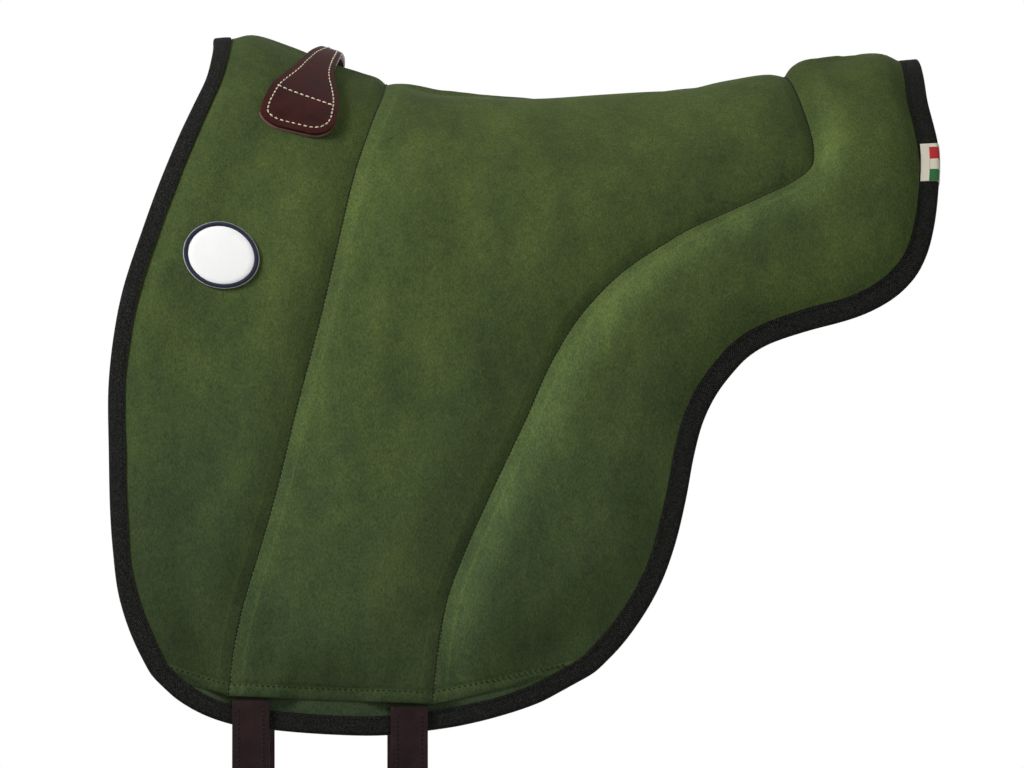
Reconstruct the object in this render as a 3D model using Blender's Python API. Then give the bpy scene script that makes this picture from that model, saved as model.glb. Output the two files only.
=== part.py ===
"""Bareback pad: a suede riding pad draped over a horse's back.

Every layer is cut from one pattern, drawn flat. A place on the pattern is an x along the spine,
front to rear, and an s down the side from the spine: minus s is the near (left) side. The flat
pattern is wrapped over the arch of the back, and each layer stands off the arch by its own lift.
"""

import math

import bpy
import bmesh
import numpy as np

# Driving dimensions, in metres
HALF_SPINE = 0.273
DROP = 0.568
ARCH_RADIUS = 0.170
FLAP_SLOPE = math.radians(83.0)
RIDGE_RISE = 0.060
RIDGE_FADE = 0.300

# Layers, from the horse outwards
LAYER_GAP = 0.0003
WRAP_GAP = 0.0008
WEB_GAP = 0.0013
TAG_GAP = 0.0010
LINING_THICKNESS = 0.0024
COVER_THICKNESS = 0.0014
EDGE_FOAM = 0.0016
SEAM_FOAM = 0.0040
FRONT_CROWN = 0.0065
SEAT_CROWN = 0.011
REAR_CREST = 0.020
REAR_TAIL = 0.009

# Edge binding and tag
TAPE_THICKNESS = 0.0012
TAPE_LEG = 0.0125
TAPE_NOSE = 0.0010
RIM_MARGIN = 0.0015
TAG_THICKNESS = 0.0006
TAG_LEG = 0.0150
TAG_TOP = 0.134
TAG_LENGTH = 0.033

# Shoulders of the cushions
EDGE_SHOULDER = 0.026
SEAM_SHOULDER = 0.024
SEAT_SHOULDER = 0.055
PINCH_WIDTH = 0.007
LIP_SHOULDER = 0.040
SEAM_COLUMN = 0.009
HEM_SHOULDER = 0.0025

# Lower hem and its pocket
POCKET_DEPTH = 0.050
POCKET_FADE = 0.030
SKIRT_TUCK = 0.020
SKIRT_THICKNESS = 0.0033
SKIRT_THIN = 0.0016

# Girth webs
WEB_WIDTH = 0.028
FRONT_WEB_OFFSET = 0.080
REAR_WEB_OFFSET = 0.024
WEB_THICKNESS = 0.0015
WEB_CLIMB = 0.020
WEB_END = 0.003
WEB_STEP = 0.025

# Billets
BILLET_INSET = 0.0172
BILLET_WIDTH = 0.028
FACE_LEATHER = 0.0022
BACK_LEATHER = 0.0018
BILLET_LENGTH = 0.355
BILLET_POINT = 0.030
ROOT_LENGTH = 0.024
LIP_CLEARANCE = 0.00045
HOLE_DIAMETER = 0.005
HOLE_PITCH = 0.026
HOLE_COUNT = 6
FIRST_HOLE = 0.048

# Handle
HANDLE_UPPER = 0.0024
HANDLE_LOWER = 0.0024
HANDLE_REACH = 0.127
HANDLE_SEWN = 0.089
FINGER_GAP = 0.0085
HANDLE_INSET = 0.0395
HANDLE_NECK = 0.020
HANDLE_TAB = 0.059

# Badge
BADGE_INSET = 0.065
BADGE_S = 0.217
BADGE_LENGTH = 0.057
BADGE_HEIGHT = 0.048
BADGE_TILT = math.radians(16.0)
BADGE_THICKNESS = 0.0012
BADGE_BORDER = 0.0030
BADGE_BORDER_HEIGHT = 0.0020

# Rows and columns of the pattern
ARCH_STEP = 0.025
ARCH_ROWS = 6
FOAM_ROW = 16
LIP_ROW = 18
EDGE_ROW = 19
FINE_STEPS = 600
LOWER_ROW_SHARES = (0.069, 0.144, 0.227, 0.317, 0.413, 0.512, 0.611, 0.707, 0.797, 0.877, 0.944, 1.0)
FRONT_COLUMNS = 7
SEAT_COLUMNS = 9
REAR_COLUMNS = 8

# Pattern outlines: (s as a share of DROP, x as a share of HALF_SPINE), from the spine down
FRONT_EDGE_SHARES = (
    (0.0, -1.0), (0.092, -1.0), (0.156, -1.020), (0.196, -1.052), (0.242, -1.093), (0.342, -1.181),
    (0.430, -1.249), (0.474, -1.267), (0.521, -1.278), (0.620, -1.278), (0.752, -1.266), (0.816, -1.248),
    (0.871, -1.210), (0.918, -1.161),
)
FRONT_SEAM_SHARES = (
    (0.0, -0.520), (0.118, -0.537), (0.200, -0.574), (0.250, -0.602), (0.330, -0.641), (0.438, -0.697),
    (0.551, -0.760), (0.681, -0.826), (0.756, -0.870), (0.818, -0.909), (0.874, -0.936), (0.949, -0.955),
)
REAR_SEAM_SHARES = (
    (0.0, 0.622), (0.075, 0.635), (0.140, 0.651), (0.190, 0.668), (0.225, 0.677), (0.258, 0.661),
    (0.280, 0.598), (0.305, 0.445), (0.326, 0.330), (0.347, 0.254), (0.377, 0.156), (0.428, 0.041),
    (0.499, -0.057), (0.579, -0.132), (0.661, -0.213), (0.741, -0.288), (0.818, -0.350), (0.882, -0.376),
    (0.960, -0.393),
)
REAR_EDGE_SHARES = (
    (0.0, 1.0), (0.110, 1.0), (0.168, 1.003), (0.203, 1.013), (0.235, 1.022), (0.296, 1.015),
    (0.342, 0.998), (0.374, 0.975), (0.399, 0.940), (0.426, 0.862), (0.441, 0.785), (0.458, 0.650),
    (0.475, 0.540), (0.490, 0.486), (0.513, 0.438), (0.536, 0.400), (0.578, 0.354), (0.622, 0.328),
    (0.685, 0.303), (0.752, 0.268), (0.798, 0.232), (0.846, 0.175), (0.882, 0.118), (0.914, 0.052),
)
# Bottom edge: (x as a share of HALF_SPINE, s as a share of DROP), front to rear
BOTTOM_EDGE_SHARES = (
    (-1.102, 0.946), (-1.041, 0.964), (-0.948, 0.981), (-0.830, 0.989), (-0.677, 0.995), (-0.515, 0.996),
    (-0.403, 0.990), (-0.332, 0.985), (-0.231, 0.974), (-0.148, 0.962), (-0.086, 0.951),
)
# Ridge line: (x as a share of HALF_SPINE, rise as a share of RIDGE_RISE)
RIDGE_SHARES = (
    (-1.25, 0.98), (-1.01, 0.96), (-0.96, 0.975), (-0.90, 0.905), (-0.82, 0.73), (-0.74, 0.585),
    (-0.67, 0.475), (-0.60, 0.41), (-0.524, 0.36), (-0.47, 0.285), (-0.40, 0.145), (-0.32, 0.05),
    (-0.22, 0.01), (-0.08, -0.005), (0.08, 0.035), (0.22, 0.07), (0.36, 0.135), (0.48, 0.28),
    (0.57, 0.425), (0.64, 0.455), (0.72, 0.40), (0.80, 0.475), (0.90, 0.64), (1.01, 0.705), (1.25, 0.75),
)
# Half outline of the handle: (share of HANDLE_REACH, share of the way from neck to full tab width)
HANDLE_WIDTH_SHARES = (
    (0.0, 0.0), (0.12, 0.04), (0.24, 0.12), (0.35, 0.23), (0.47, 0.35), (0.59, 0.52), (0.72, 0.71),
    (0.83, 0.88), (0.92, 1.0),
)
HANDLE_END_SHARES = (0.0, 0.08, 0.16, 0.25, 0.34, 0.44, 0.54, 0.64, 0.74, 0.83, 0.90, 0.95, 0.985, 1.0)
HANDLE_CORNER_SHARE = 0.17
PINCH_SHARE = 0.15
HANDLE_COLUMNS = 4
WEB_COLUMNS = 3
TAG_STEPS = 4
NOSE_STEPS = 3
BADGE_SPOKES = 24
BADGE_RING_SHARES = (0.0, 0.45, 0.80, 1.0)
HOLE_SIDES = 8

# Places that follow from the outlines
FRONT_BILLET_X = HALF_SPINE * FRONT_SEAM_SHARES[-1][1] + BILLET_INSET
REAR_BILLET_X = HALF_SPINE * REAR_SEAM_SHARES[-1][1] - BILLET_INSET
FRONT_WEB_SPINE_X = HALF_SPINE * FRONT_SEAM_SHARES[0][1] - FRONT_WEB_OFFSET
REAR_WEB_SPINE_X = HALF_SPINE * FRONT_SEAM_SHARES[0][1] + REAR_WEB_OFFSET
HANDLE_REAR_X = HALF_SPINE * FRONT_SEAM_SHARES[0][1] - HANDLE_INSET

# Heights that follow from the layers
EDGE_STACK = LINING_THICKNESS + LAYER_GAP + EDGE_FOAM + LAYER_GAP + COVER_THICKNESS
FOAM_FLOOR = LINING_THICKNESS + LAYER_GAP
RIM_WIDTH = TAPE_LEG + RIM_MARGIN
BILLET_THICKNESS = FACE_LEATHER + LAYER_GAP + BACK_LEATHER
BILLET_FLOOR = EDGE_STACK + WRAP_GAP + TAPE_THICKNESS + LAYER_GAP
BILLET_TOP = BILLET_FLOOR + BILLET_THICKNESS
AXIS_LIFT = BILLET_FLOOR + BILLET_THICKNESS / 2
POCKET_LIFT = BILLET_TOP - FOAM_FLOOR - EDGE_FOAM
SKIRT_TOP = FOAM_FLOOR + SKIRT_THICKNESS
FRONT_TOP = FOAM_FLOOR + SEAM_FOAM + FRONT_CROWN + LAYER_GAP + COVER_THICKNESS

# Colours, linear
SUEDE = (0.052, 0.078, 0.026)
SUEDE_DARK = (0.030, 0.044, 0.018)
FELT = (0.045, 0.043, 0.040)
FOAM_TINT = (0.55, 0.50, 0.34)
TAPE_TINT = (0.019, 0.018, 0.017)
WEB_TINT = (0.026, 0.026, 0.026)
LEATHER = (0.038, 0.012, 0.012)
LEATHER_EDGE = (0.070, 0.022, 0.018)
PATCH_TINT = (0.80, 0.80, 0.80)
BORDER_TINT = (0.012, 0.014, 0.030)
TAG_TINT = (0.72, 0.69, 0.60)


def clear_scene():
    """Remove whatever the file held before."""
    for item in list(bpy.data.objects):
        bpy.data.objects.remove(item, do_unlink=True)


def material(name, tint, roughness):
    """A plain non-metallic material."""
    made = bpy.data.materials.new(name)
    made.use_nodes = True
    shader = made.node_tree.nodes["Principled BSDF"]
    shader.inputs["Base Color"].default_value = (*tint, 1.0)
    shader.inputs["Roughness"].default_value = roughness
    shader.inputs["Metallic"].default_value = 0.0
    return made


def smooth_curve(points, at):
    """Value at each place of the smooth curve through the (place, value) points."""
    known = np.array(points, dtype=float)
    place, value = known[:, 0], known[:, 1]
    slope = np.gradient(value, place)
    at = np.clip(np.asarray(at, dtype=float), place[0], place[-1])
    left = np.clip(np.searchsorted(place, at, side="right") - 1, 0, len(place) - 2)
    span = place[left + 1] - place[left]
    t = (at - place[left]) / span
    start = (1 + 2 * t) * (1 - t) ** 2 * value[left] + t * (1 - t) ** 2 * span * slope[left]
    end = t * t * (3 - 2 * t) * value[left + 1] - t * t * (1 - t) * span * slope[left + 1]
    return start + end


def ridge(x):
    """Rise of the spine line above its lowest place."""
    return RIDGE_RISE * smooth_curve(RIDGE_SHARES, x / HALF_SPINE)


def arch_points(x, s, lift):
    """Wrap pattern places over the arch of the back and stand them off by the lift.

    Each side is a circular arch that runs straight on as the flap. The ridge line's rise and
    fall is added to it and fades out down the side.
    """
    x, s, lift = np.broadcast_arrays(*(np.asarray(v, dtype=float) for v in (x, s, lift)))
    down = np.abs(s)
    side = np.where(s < 0, -1.0, 1.0)
    arc_length = ARCH_RADIUS * FLAP_SLOPE
    angle = np.minimum(down, arc_length) / ARCH_RADIUS
    straight = np.maximum(down - arc_length, 0.0)
    phase = np.pi * np.minimum(down, RIDGE_FADE) / RIDGE_FADE
    fade = (1 + np.cos(phase)) / 2
    fade_slope = -np.pi / RIDGE_FADE * np.sin(phase) / 2
    rise = ridge(x)
    step = HALF_SPINE / FINE_STEPS
    rise_slope = (ridge(x + step) - ridge(x - step)) / (2 * step)
    across = ARCH_RADIUS * np.sin(angle) + straight * math.cos(FLAP_SLOPE)
    height = -ARCH_RADIUS * (1 - np.cos(angle)) - straight * math.sin(FLAP_SLOPE) + rise * fade
    normal = np.stack([-rise_slope * fade * np.cos(angle), np.sin(angle) - rise * fade_slope, np.cos(angle)])
    normal = normal / np.linalg.norm(normal, axis=0)
    points = np.stack([x, across, height]) + normal * lift
    points[1] *= side
    return np.moveaxis(points, 0, -1)


def side_stretch(x, s):
    """Length on the arch of a short step of s."""
    step = ARCH_RADIUS / FINE_STEPS
    span = arch_points(x, s + step, 0.0) - arch_points(x, s - step, 0.0)
    return float(np.linalg.norm(span) / (2 * step))


def edge_rows(shares):
    """Places of rows 0 to LIP_ROW down one outline of the pattern, as (x, s)."""
    lowest = shares[-1][0]
    fine = np.linspace(0.0, lowest, FINE_STEPS)
    line = np.stack([HALF_SPINE * smooth_curve(shares, fine), DROP * fine], axis=1)
    arch = ARCH_STEP * np.arange(ARCH_ROWS + 1)
    length = np.concatenate([[0.0], np.cumsum(np.linalg.norm(np.diff(line, axis=0), axis=1))])
    arch_length = np.interp(arch, line[:, 1], length)
    lower = arch_length[-1] + (length[-1] - arch_length[-1]) * np.array(LOWER_ROW_SHARES)
    at = np.concatenate([arch_length, lower])
    return np.stack([np.interp(at, length, line[:, 0]), np.interp(at, length, line[:, 1])], axis=1)


def mitres(path, closed):
    """Direction square to a path at each place, to the right of its way, lengthened at corners."""
    before = path - np.roll(path, 1, axis=0)
    after = np.roll(path, -1, axis=0) - path
    if not closed:
        before[0], after[-1] = after[0], before[-1]
    before /= np.linalg.norm(before, axis=1)[:, None]
    after /= np.linalg.norm(after, axis=1)[:, None]
    turned = before + after
    square = np.stack([turned[:, 1], -turned[:, 0]], axis=1)
    square /= np.linalg.norm(square, axis=1)[:, None]
    straight = np.stack([after[:, 1], -after[:, 0]], axis=1)
    return square / (square * straight).sum(1)[:, None]


def rim_places(edge, rows, inward):
    """Column beside a bound edge, parallel to it; along the lip in the last row."""
    widest_share = 0.55
    places = edge[:-1] + inward * RIM_WIDTH * mitres(edge, False)[:-1]
    lip, corner = rows[-1], edge[-1] - edge[-2]
    width = np.linalg.norm(lip)
    sine = abs(lip[0] * corner[1] - lip[1] * corner[0]) / (width * np.linalg.norm(corner))
    share = min(RIM_WIDTH / (sine * width), widest_share)
    places[-1] = edge[-2] + lip * share
    return places


def seam_places(seam, rows):
    """Column beside a seam, a set way along each row."""
    widest_share = 0.30
    width = np.linalg.norm(rows, axis=1)
    return seam + rows * np.minimum(SEAM_COLUMN / width, widest_share)[:, None]


def panel_pattern(left, right, left_corner, right_corner, columns):
    """Places of a panel's rows and columns between two outlines, bound where a corner is given."""
    rows = right - left
    if left_corner is None:
        first = seam_places(left, rows)
    else:
        first = rim_places(np.vstack([left, left_corner]), rows, 1.0)
    if right_corner is None:
        last = seam_places(right, -rows)
    else:
        last = rim_places(np.vstack([right, right_corner]), -rows, -1.0)
    shares = np.linspace(0.0, 1.0, columns - 1)[None, :, None]
    inner = first[:, None] + (last - first)[:, None] * shares
    return np.concatenate([left[:, None], inner, right[:, None]], axis=1)


def bottom_pattern(from_x, to_x, lip):
    """Places on the bottom edge under one panel's columns."""
    shares = (lip[:, 0] - lip[0, 0]) / (lip[-1, 0] - lip[0, 0])
    x = from_x + (to_x - from_x) * shares
    return np.stack([x, DROP * smooth_curve(BOTTOM_EDGE_SHARES, x / HALF_SPINE)], axis=1)


def make_pattern():
    """The three panels' places on one side, row EDGE_ROW being the bottom edge."""
    front, seam_1, seam_2, rear = (
        edge_rows(shares)
        for shares in (FRONT_EDGE_SHARES, FRONT_SEAM_SHARES, REAR_SEAM_SHARES, REAR_EDGE_SHARES)
    )
    front_corner, rear_corner = (
        np.array([HALF_SPINE * x_share, DROP * s_share])
        for x_share, s_share in (BOTTOM_EDGE_SHARES[0], BOTTOM_EDGE_SHARES[-1])
    )
    plans = (
        ("front", front, seam_1, front_corner, None, FRONT_COLUMNS),
        ("seat", seam_1, seam_2, None, None, SEAT_COLUMNS),
        ("rear", seam_2, rear, None, rear_corner, REAR_COLUMNS),
    )
    made = {}
    for name, left, right, left_corner, right_corner, columns in plans:
        places = panel_pattern(left, right, left_corner, right_corner, columns)
        from_x = left[-1, 0] if left_corner is None else left_corner[0]
        to_x = right[-1, 0] if right_corner is None else right_corner[0]
        bottom = bottom_pattern(from_x, to_x, places[-1])
        made[name] = np.concatenate([places, bottom[None]], axis=0)
    return made


def row_path(pattern, row):
    """Places of one row, across all three panels from front to rear."""
    return np.concatenate([pattern["front"][row], pattern["seat"][row, 1:], pattern["rear"][row, 1:]])


def distance_to(path, places):
    """Distance of each (x, s) place from a path of straight pieces."""
    start, end = path[:-1], path[1:]
    along = end - start
    offset = places[..., None, :] - start
    share = np.clip((offset * along).sum(-1) / (along * along).sum(-1), 0.0, 1.0)
    return np.linalg.norm(offset - share[..., None] * along, axis=-1).min(-1)


def shoulder(share):
    """Round rise of a cushion's side, from 0 to 1."""
    share = np.clip(share, 0.0, 1.0)
    return np.sqrt(1 - (1 - share) ** 2)


def crown_height(name, places):
    """Full height of a panel's crown above its seams, by column for the rear bolster."""
    if name == "front":
        return FRONT_CROWN
    if name == "seat":
        return SEAT_CROWN
    across = np.linspace(0.0, 1.0, places.shape[1])
    return REAR_CREST + (REAR_TAIL - REAR_CREST) * across[None, :]


def seam_rise(name, seam):
    """Share of its crown that a panel has at a distance from its seams: the seat's rises slowly."""
    if name != "seat":
        return shoulder(seam / SEAM_SHOULDER)
    share = np.clip(seam / SEAT_SHOULDER, 0.0, 1.0)
    slow = 3 * share ** 2 - 2 * share ** 3
    return PINCH_SHARE * shoulder(seam / PINCH_WIDTH) + (1 - PINCH_SHARE) * slow


def edge_rise(pattern, places):
    """Share of its height that a cushion has beside the bound edges: none under the binding."""
    flank = np.minimum(distance_to(pattern["front"][:, 0], places), distance_to(pattern["rear"][:, -1], places))
    bottom = distance_to(row_path(pattern, EDGE_ROW), places)
    above_bottom = np.clip((bottom - TAPE_LEG - WRAP_GAP) / HEM_SHOULDER, 0.0, 1.0)
    return shoulder((flank - RIM_WIDTH - RIM_MARGIN) / EDGE_SHOULDER) * above_bottom


def foam_tops(pattern):
    """Lift of each foam's outer face at the pattern's places."""
    seam_1 = pattern["seat"][: LIP_ROW + 1, 0]
    seam_2 = pattern["rear"][: LIP_ROW + 1, 0]
    seams = {"front": (seam_1,), "seat": (seam_1, seam_2), "rear": (seam_2,)}
    lip = row_path(pattern, LIP_ROW)
    made = {}
    for name, places in pattern.items():
        seam = np.min([distance_to(path, places) for path in seams[name]], axis=0)
        hem = distance_to(lip, places)
        swell = crown_height(name, places) * seam_rise(name, seam) * shoulder(hem / LIP_SHOULDER)
        pocket = POCKET_LIFT * np.clip(1 - (hem - POCKET_DEPTH) / POCKET_FADE, 0.0, 1.0)
        body = np.maximum(SEAM_FOAM - EDGE_FOAM + swell, pocket)
        made[name] = FOAM_FLOOR + EDGE_FOAM + edge_rise(pattern, places) * body
    return made


def both_sides(values):
    """One side's rows, doubled to run from the near hem over the spine to the off hem."""
    return np.concatenate([values[::-1], values[1:]], axis=0)


def both_sides_places(places):
    """As both_sides, with s negative on the near side."""
    x = both_sides(places[..., 0])
    s = np.concatenate([-places[::-1, :, 1], places[1:, :, 1]], axis=0)
    return x, s


def grid_faces(rows, columns, near_rows):
    """Triangles of a grid, its diagonals mirrored about row near_rows."""
    row, column = np.meshgrid(np.arange(rows - 1), np.arange(columns - 1), indexing="ij")
    a = (row * columns + column).ravel()
    b, c, d = a + 1, a + columns + 1, a + columns
    mirrored = (row.ravel() >= near_rows)[:, None]
    first = np.where(mirrored, np.stack([a, b, c], 1), np.stack([a, b, d], 1))
    second = np.where(mirrored, np.stack([a, c, d], 1), np.stack([b, c, d], 1))
    return np.concatenate([first, second])


def rim_loop(rows, columns):
    """Indices round a grid's rim, in the same turn as its faces."""
    top = np.arange(columns)
    right = np.arange(1, rows) * columns + columns - 1
    bottom = (rows - 1) * columns + np.arange(columns - 2, -1, -1)
    left = np.arange(rows - 2, 0, -1) * columns
    return np.concatenate([top, right, bottom, left])


def mesh_object(name, vertices, faces, finish):
    """A named object from points and faces, its faces turned outwards."""
    mesh = bpy.data.meshes.new(name)
    mesh.from_pydata([tuple(point) for point in vertices], [], [tuple(face) for face in faces])
    model = bmesh.new()
    model.from_mesh(mesh)
    bmesh.ops.recalc_face_normals(model, faces=model.faces)
    model.to_mesh(mesh)
    model.free()
    mesh.materials.append(finish)
    mesh.shade_smooth()
    mesh.set_sharp_from_angle(angle=math.radians(40.0))
    item = bpy.data.objects.new(name, mesh)
    bpy.context.collection.objects.link(item)
    return item


def sheet_object(name, x, s, low, high, finish, near_rows):
    """A closed sheet over a grid of places, between two lifts."""
    rows, columns = x.shape
    under = arch_points(x, s, low).reshape(-1, 3)
    over = arch_points(x, s, high).reshape(-1, 3)
    count = rows * columns
    faces = grid_faces(rows, columns, near_rows)
    rim = rim_loop(rows, columns)
    following = np.roll(rim, -1)
    walls = np.concatenate([
        np.stack([rim, following, following + count], 1),
        np.stack([rim, following + count, rim + count], 1),
    ])
    everything = np.concatenate([faces[:, ::-1], faces + count, walls])
    return mesh_object(name, np.concatenate([under, over]), everything, finish)


def inset_columns(places, left, right):
    """Draw a panel's outer columns in, square to the seams, by half a joint."""
    places = places.copy()
    for column, neighbour, inset in ((0, 1, left), (-1, -2, right)):
        way = places[:, neighbour] - places[:, column]
        tangent = np.gradient(places[:, column], axis=0)
        square = np.stack([tangent[:, 1], -tangent[:, 0]], axis=1) / np.linalg.norm(tangent, axis=1)[:, None]
        places[:, column] += inset * square * np.sign((square * way).sum(1))[:, None]
    return places


def make_lining(pattern, finish):
    """The felt underside, one sheet under all three panels down to the bottom edge."""
    places = np.concatenate([pattern["front"], pattern["seat"][:, 1:], pattern["rear"][:, 1:]], axis=1)
    x, s = both_sides_places(places)
    return sheet_object("lining", x, s, 0.0, LINING_THICKNESS, finish, EDGE_ROW)


def make_cushions(pattern, tops, foam_finish, suede):
    """A foam and its suede cover for each of the three panels."""
    half_joint = LAYER_GAP / 2
    joints = {"front": (0.0, half_joint), "seat": (half_joint, half_joint), "rear": (half_joint, 0.0)}
    foams = {}
    for name, places in pattern.items():
        seated = inset_columns(places, *joints[name])
        top = tops[name]
        x, s = both_sides_places(seated[: FOAM_ROW + 1])
        foam_top = both_sides(top[: FOAM_ROW + 1])
        foams[name] = sheet_object(f"{name}_foam", x, s, FOAM_FLOOR, foam_top, foam_finish, FOAM_ROW)
        x, s = both_sides_places(seated[: LIP_ROW + 1])
        under = both_sides(top[: LIP_ROW + 1]) + LAYER_GAP
        sheet_object(f"{name}_cover", x, s, under, under + COVER_THICKNESS, suede, LIP_ROW)
    return foams


def outline_path(pattern):
    """The bound outline as one closed path of (x, signed s) places."""
    front = pattern["front"][:, 0]
    bottom = np.concatenate([pattern["front"][-1, 1:], pattern["seat"][-1, 1:], pattern["rear"][-1, 1:-1]])
    rear = pattern["rear"][::-1, -1]
    off = np.concatenate([front, bottom, rear])
    near = off[::-1][1:-1] * np.array([1.0, -1.0])
    return np.concatenate([off, near])


def fold_line(leg, middle, half, reach):
    """One face of a folded tape: two legs and a round nose, as (distance in, lift)."""
    turns = [math.pi / 2 - math.pi * step / NOSE_STEPS for step in range(NOSE_STEPS + 1)]
    nose = [(-reach * math.cos(turn), middle + half * math.sin(turn)) for turn in turns]
    return [(leg, middle + half), *nose, (leg, middle - half)]


def fold_profile(low, high, leg, thickness, clearance, bulge):
    """Section of a tape folded round an edge that bulges past the path by the length given."""
    middle, half, reach = (low + high) / 2, (high - low) / 2 + clearance, bulge + clearance
    inner = fold_line(leg, middle, half, reach)
    outer = fold_line(leg, middle, half + thickness, reach + thickness)
    return np.array(outer + inner[::-1])


def swept_object(name, path, inward, profile, closed, finish):
    """Carry a folded section along a path on the pattern."""
    steps, points = len(path), len(profile)
    places = path[:, None, :] + inward[:, None, :] * profile[None, :, 0, None]
    vertices = arch_points(places[..., 0], places[..., 1], profile[None, :, 1]).reshape(-1, 3)
    faces = []
    for step in range(steps if closed else steps - 1):
        following = (step + 1) % steps
        for point in range(points):
            beside = (point + 1) % points
            faces.append((step * points + point, step * points + beside, following * points + beside))
            faces.append((step * points + point, following * points + beside, following * points + point))
    if not closed:
        faces.append(tuple(range(points)))
        faces.append(tuple((steps - 1) * points + point for point in range(points)))
    return mesh_object(name, vertices, faces, finish)


def make_binding(pattern, finish):
    """The tape folded round the whole outline."""
    path = outline_path(pattern)
    profile = fold_profile(0.0, EDGE_STACK, TAPE_LEG, TAPE_THICKNESS, WRAP_GAP, TAPE_NOSE)
    return swept_object("edge_binding", path, mitres(path, True), profile, True, finish)


def make_tag(pattern, finish):
    """The woven tag folded round the binding on the near side's rear edge."""
    edge = pattern["rear"][: LIP_ROW + 1, -1]
    s = np.linspace(TAG_TOP, TAG_TOP + TAG_LENGTH / side_stretch(HALF_SPINE, TAG_TOP), TAG_STEPS)
    path = np.stack([np.interp(s, edge[:, 1], edge[:, 0]), -s], axis=1)
    inward = np.tile([-1.0, 0.0], (TAG_STEPS, 1))
    skin = WRAP_GAP + TAPE_THICKNESS
    profile = fold_profile(-skin, EDGE_STACK + skin, TAG_LEG, TAG_THICKNESS, TAG_GAP, skin + TAPE_NOSE)
    return swept_object("woven_tag", path, inward, profile, False, finish)


def lip_at(pattern, x):
    """Distance down the side of the hem's lip at an x."""
    lip = row_path(pattern, LIP_ROW)
    return float(np.interp(x, lip[:, 0], lip[:, 1]))


def make_skirts(pattern, finish):
    """The strip under each hem, from its tuck behind the lip down to the bottom edge."""
    lip, bottom = row_path(pattern, LIP_ROW), row_path(pattern, EDGE_ROW)
    thickness = SKIRT_THIN + (SKIRT_THICKNESS - SKIRT_THIN) * edge_rise(pattern, lip)
    upper = lip - np.array([0.0, SKIRT_TUCK])
    x = np.stack([upper[:, 0], lip[:, 0], bottom[:, 0]])
    s = np.stack([upper[:, 1], lip[:, 1], bottom[:, 1]])
    top = FOAM_FLOOR + np.stack([thickness, thickness, np.full_like(thickness, SKIRT_THICKNESS)])
    for side, sign in (("near", -1.0), ("off", 1.0)):
        sheet_object(f"{side}_skirt_strip", x, sign * s, FOAM_FLOOR, top, finish, 0)


def web_lift(s, lip):
    """Lift of a girth web's underside: low under the foam, climbing to the skirt in the pocket."""
    low = LINING_THICKNESS + WEB_GAP
    high = SKIRT_TOP + LAYER_GAP
    top_of_skirt = lip - SKIRT_TUCK - LAYER_GAP
    return low + (high - low) * np.clip((s - (top_of_skirt - WEB_CLIMB)) / WEB_CLIMB, 0.0, 1.0)


def make_web(name, spine_x, billet_x, lip, below, above, side_margin, finish):
    """A band over the spine from pocket to pocket, thickened by the margins given."""
    reach = lip - WEB_END
    bend = (lip - SKIRT_TUCK - LAYER_GAP - WEB_CLIMB, lip - SKIRT_TUCK - LAYER_GAP)
    stations = np.concatenate([np.arange(0.0, RIDGE_FADE + WEB_STEP / 2, WEB_STEP), bend, [reach]])
    half = WEB_WIDTH / 2 + side_margin
    s = np.concatenate([-stations[::-1], stations[1:]])
    lift = web_lift(np.abs(s), lip)[:, None]
    centre = spine_x + (billet_x - spine_x) * np.abs(s) / lip
    grid_x = centre[:, None] + np.linspace(-half, half, WEB_COLUMNS)
    grid_s = np.repeat(s[:, None], WEB_COLUMNS, axis=1)
    low, high = lift - below, lift + WEB_THICKNESS + above
    return sheet_object(name, grid_x, grid_s, low, high, finish, len(stations) - 1)


def make_webs(pattern, foams, finish):
    """Two girth webs, and the grooves that they lie in under the foams."""
    for place, spine_x, billet_x, crossed in (
        ("front", FRONT_WEB_SPINE_X, FRONT_BILLET_X, ("front", "seat")),
        ("rear", REAR_WEB_SPINE_X, REAR_BILLET_X, ("seat",)),
    ):
        route = (spine_x, billet_x, lip_at(pattern, billet_x))
        make_web(f"{place}_girth_web", *route, 0.0, 0.0, 0.0, finish)
        cutter = make_web(f"{place}_groove", *route, LINING_THICKNESS, LAYER_GAP, LAYER_GAP, finish)
        cutter.hide_render = True
        cutter.display_type = "WIRE"
        for name in crossed:
            cut = foams[name].modifiers.new(f"{place}_groove", "BOOLEAN")
            cut.operation = "DIFFERENCE"
            cut.solver = "EXACT"
            cut.object = cutter


def flap_box(name, x_range, s_range, lift_range, side, finish):
    """A flat block on the flap."""
    x, s = np.meshgrid(np.array(x_range), side * np.array(s_range))
    return sheet_object(name, x, s, lift_range[0], lift_range[1], finish, 0)


def billet_outline():
    """Outline of a billet seen from its face: (across, height from the hinge), with a point."""
    shoulder_share, tip_share, turn_share = 0.62, 0.20, 0.40
    half = BILLET_WIDTH / 2
    straight = BILLET_LENGTH - BILLET_POINT
    turned = BILLET_LENGTH - BILLET_POINT * turn_share
    return [
        (-half, 0.0), (half, 0.0), (half, -straight), (half * shoulder_share, -turned),
        (half * tip_share, -BILLET_LENGTH), (-half * tip_share, -BILLET_LENGTH),
        (-half * shoulder_share, -turned), (-half, -straight),
    ]


def billet_holes():
    """Heights of the punched holes' centres from the hinge, from the point upwards."""
    return [FIRST_HOLE - BILLET_LENGTH + HOLE_PITCH * index for index in range(HOLE_COUNT)]


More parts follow.
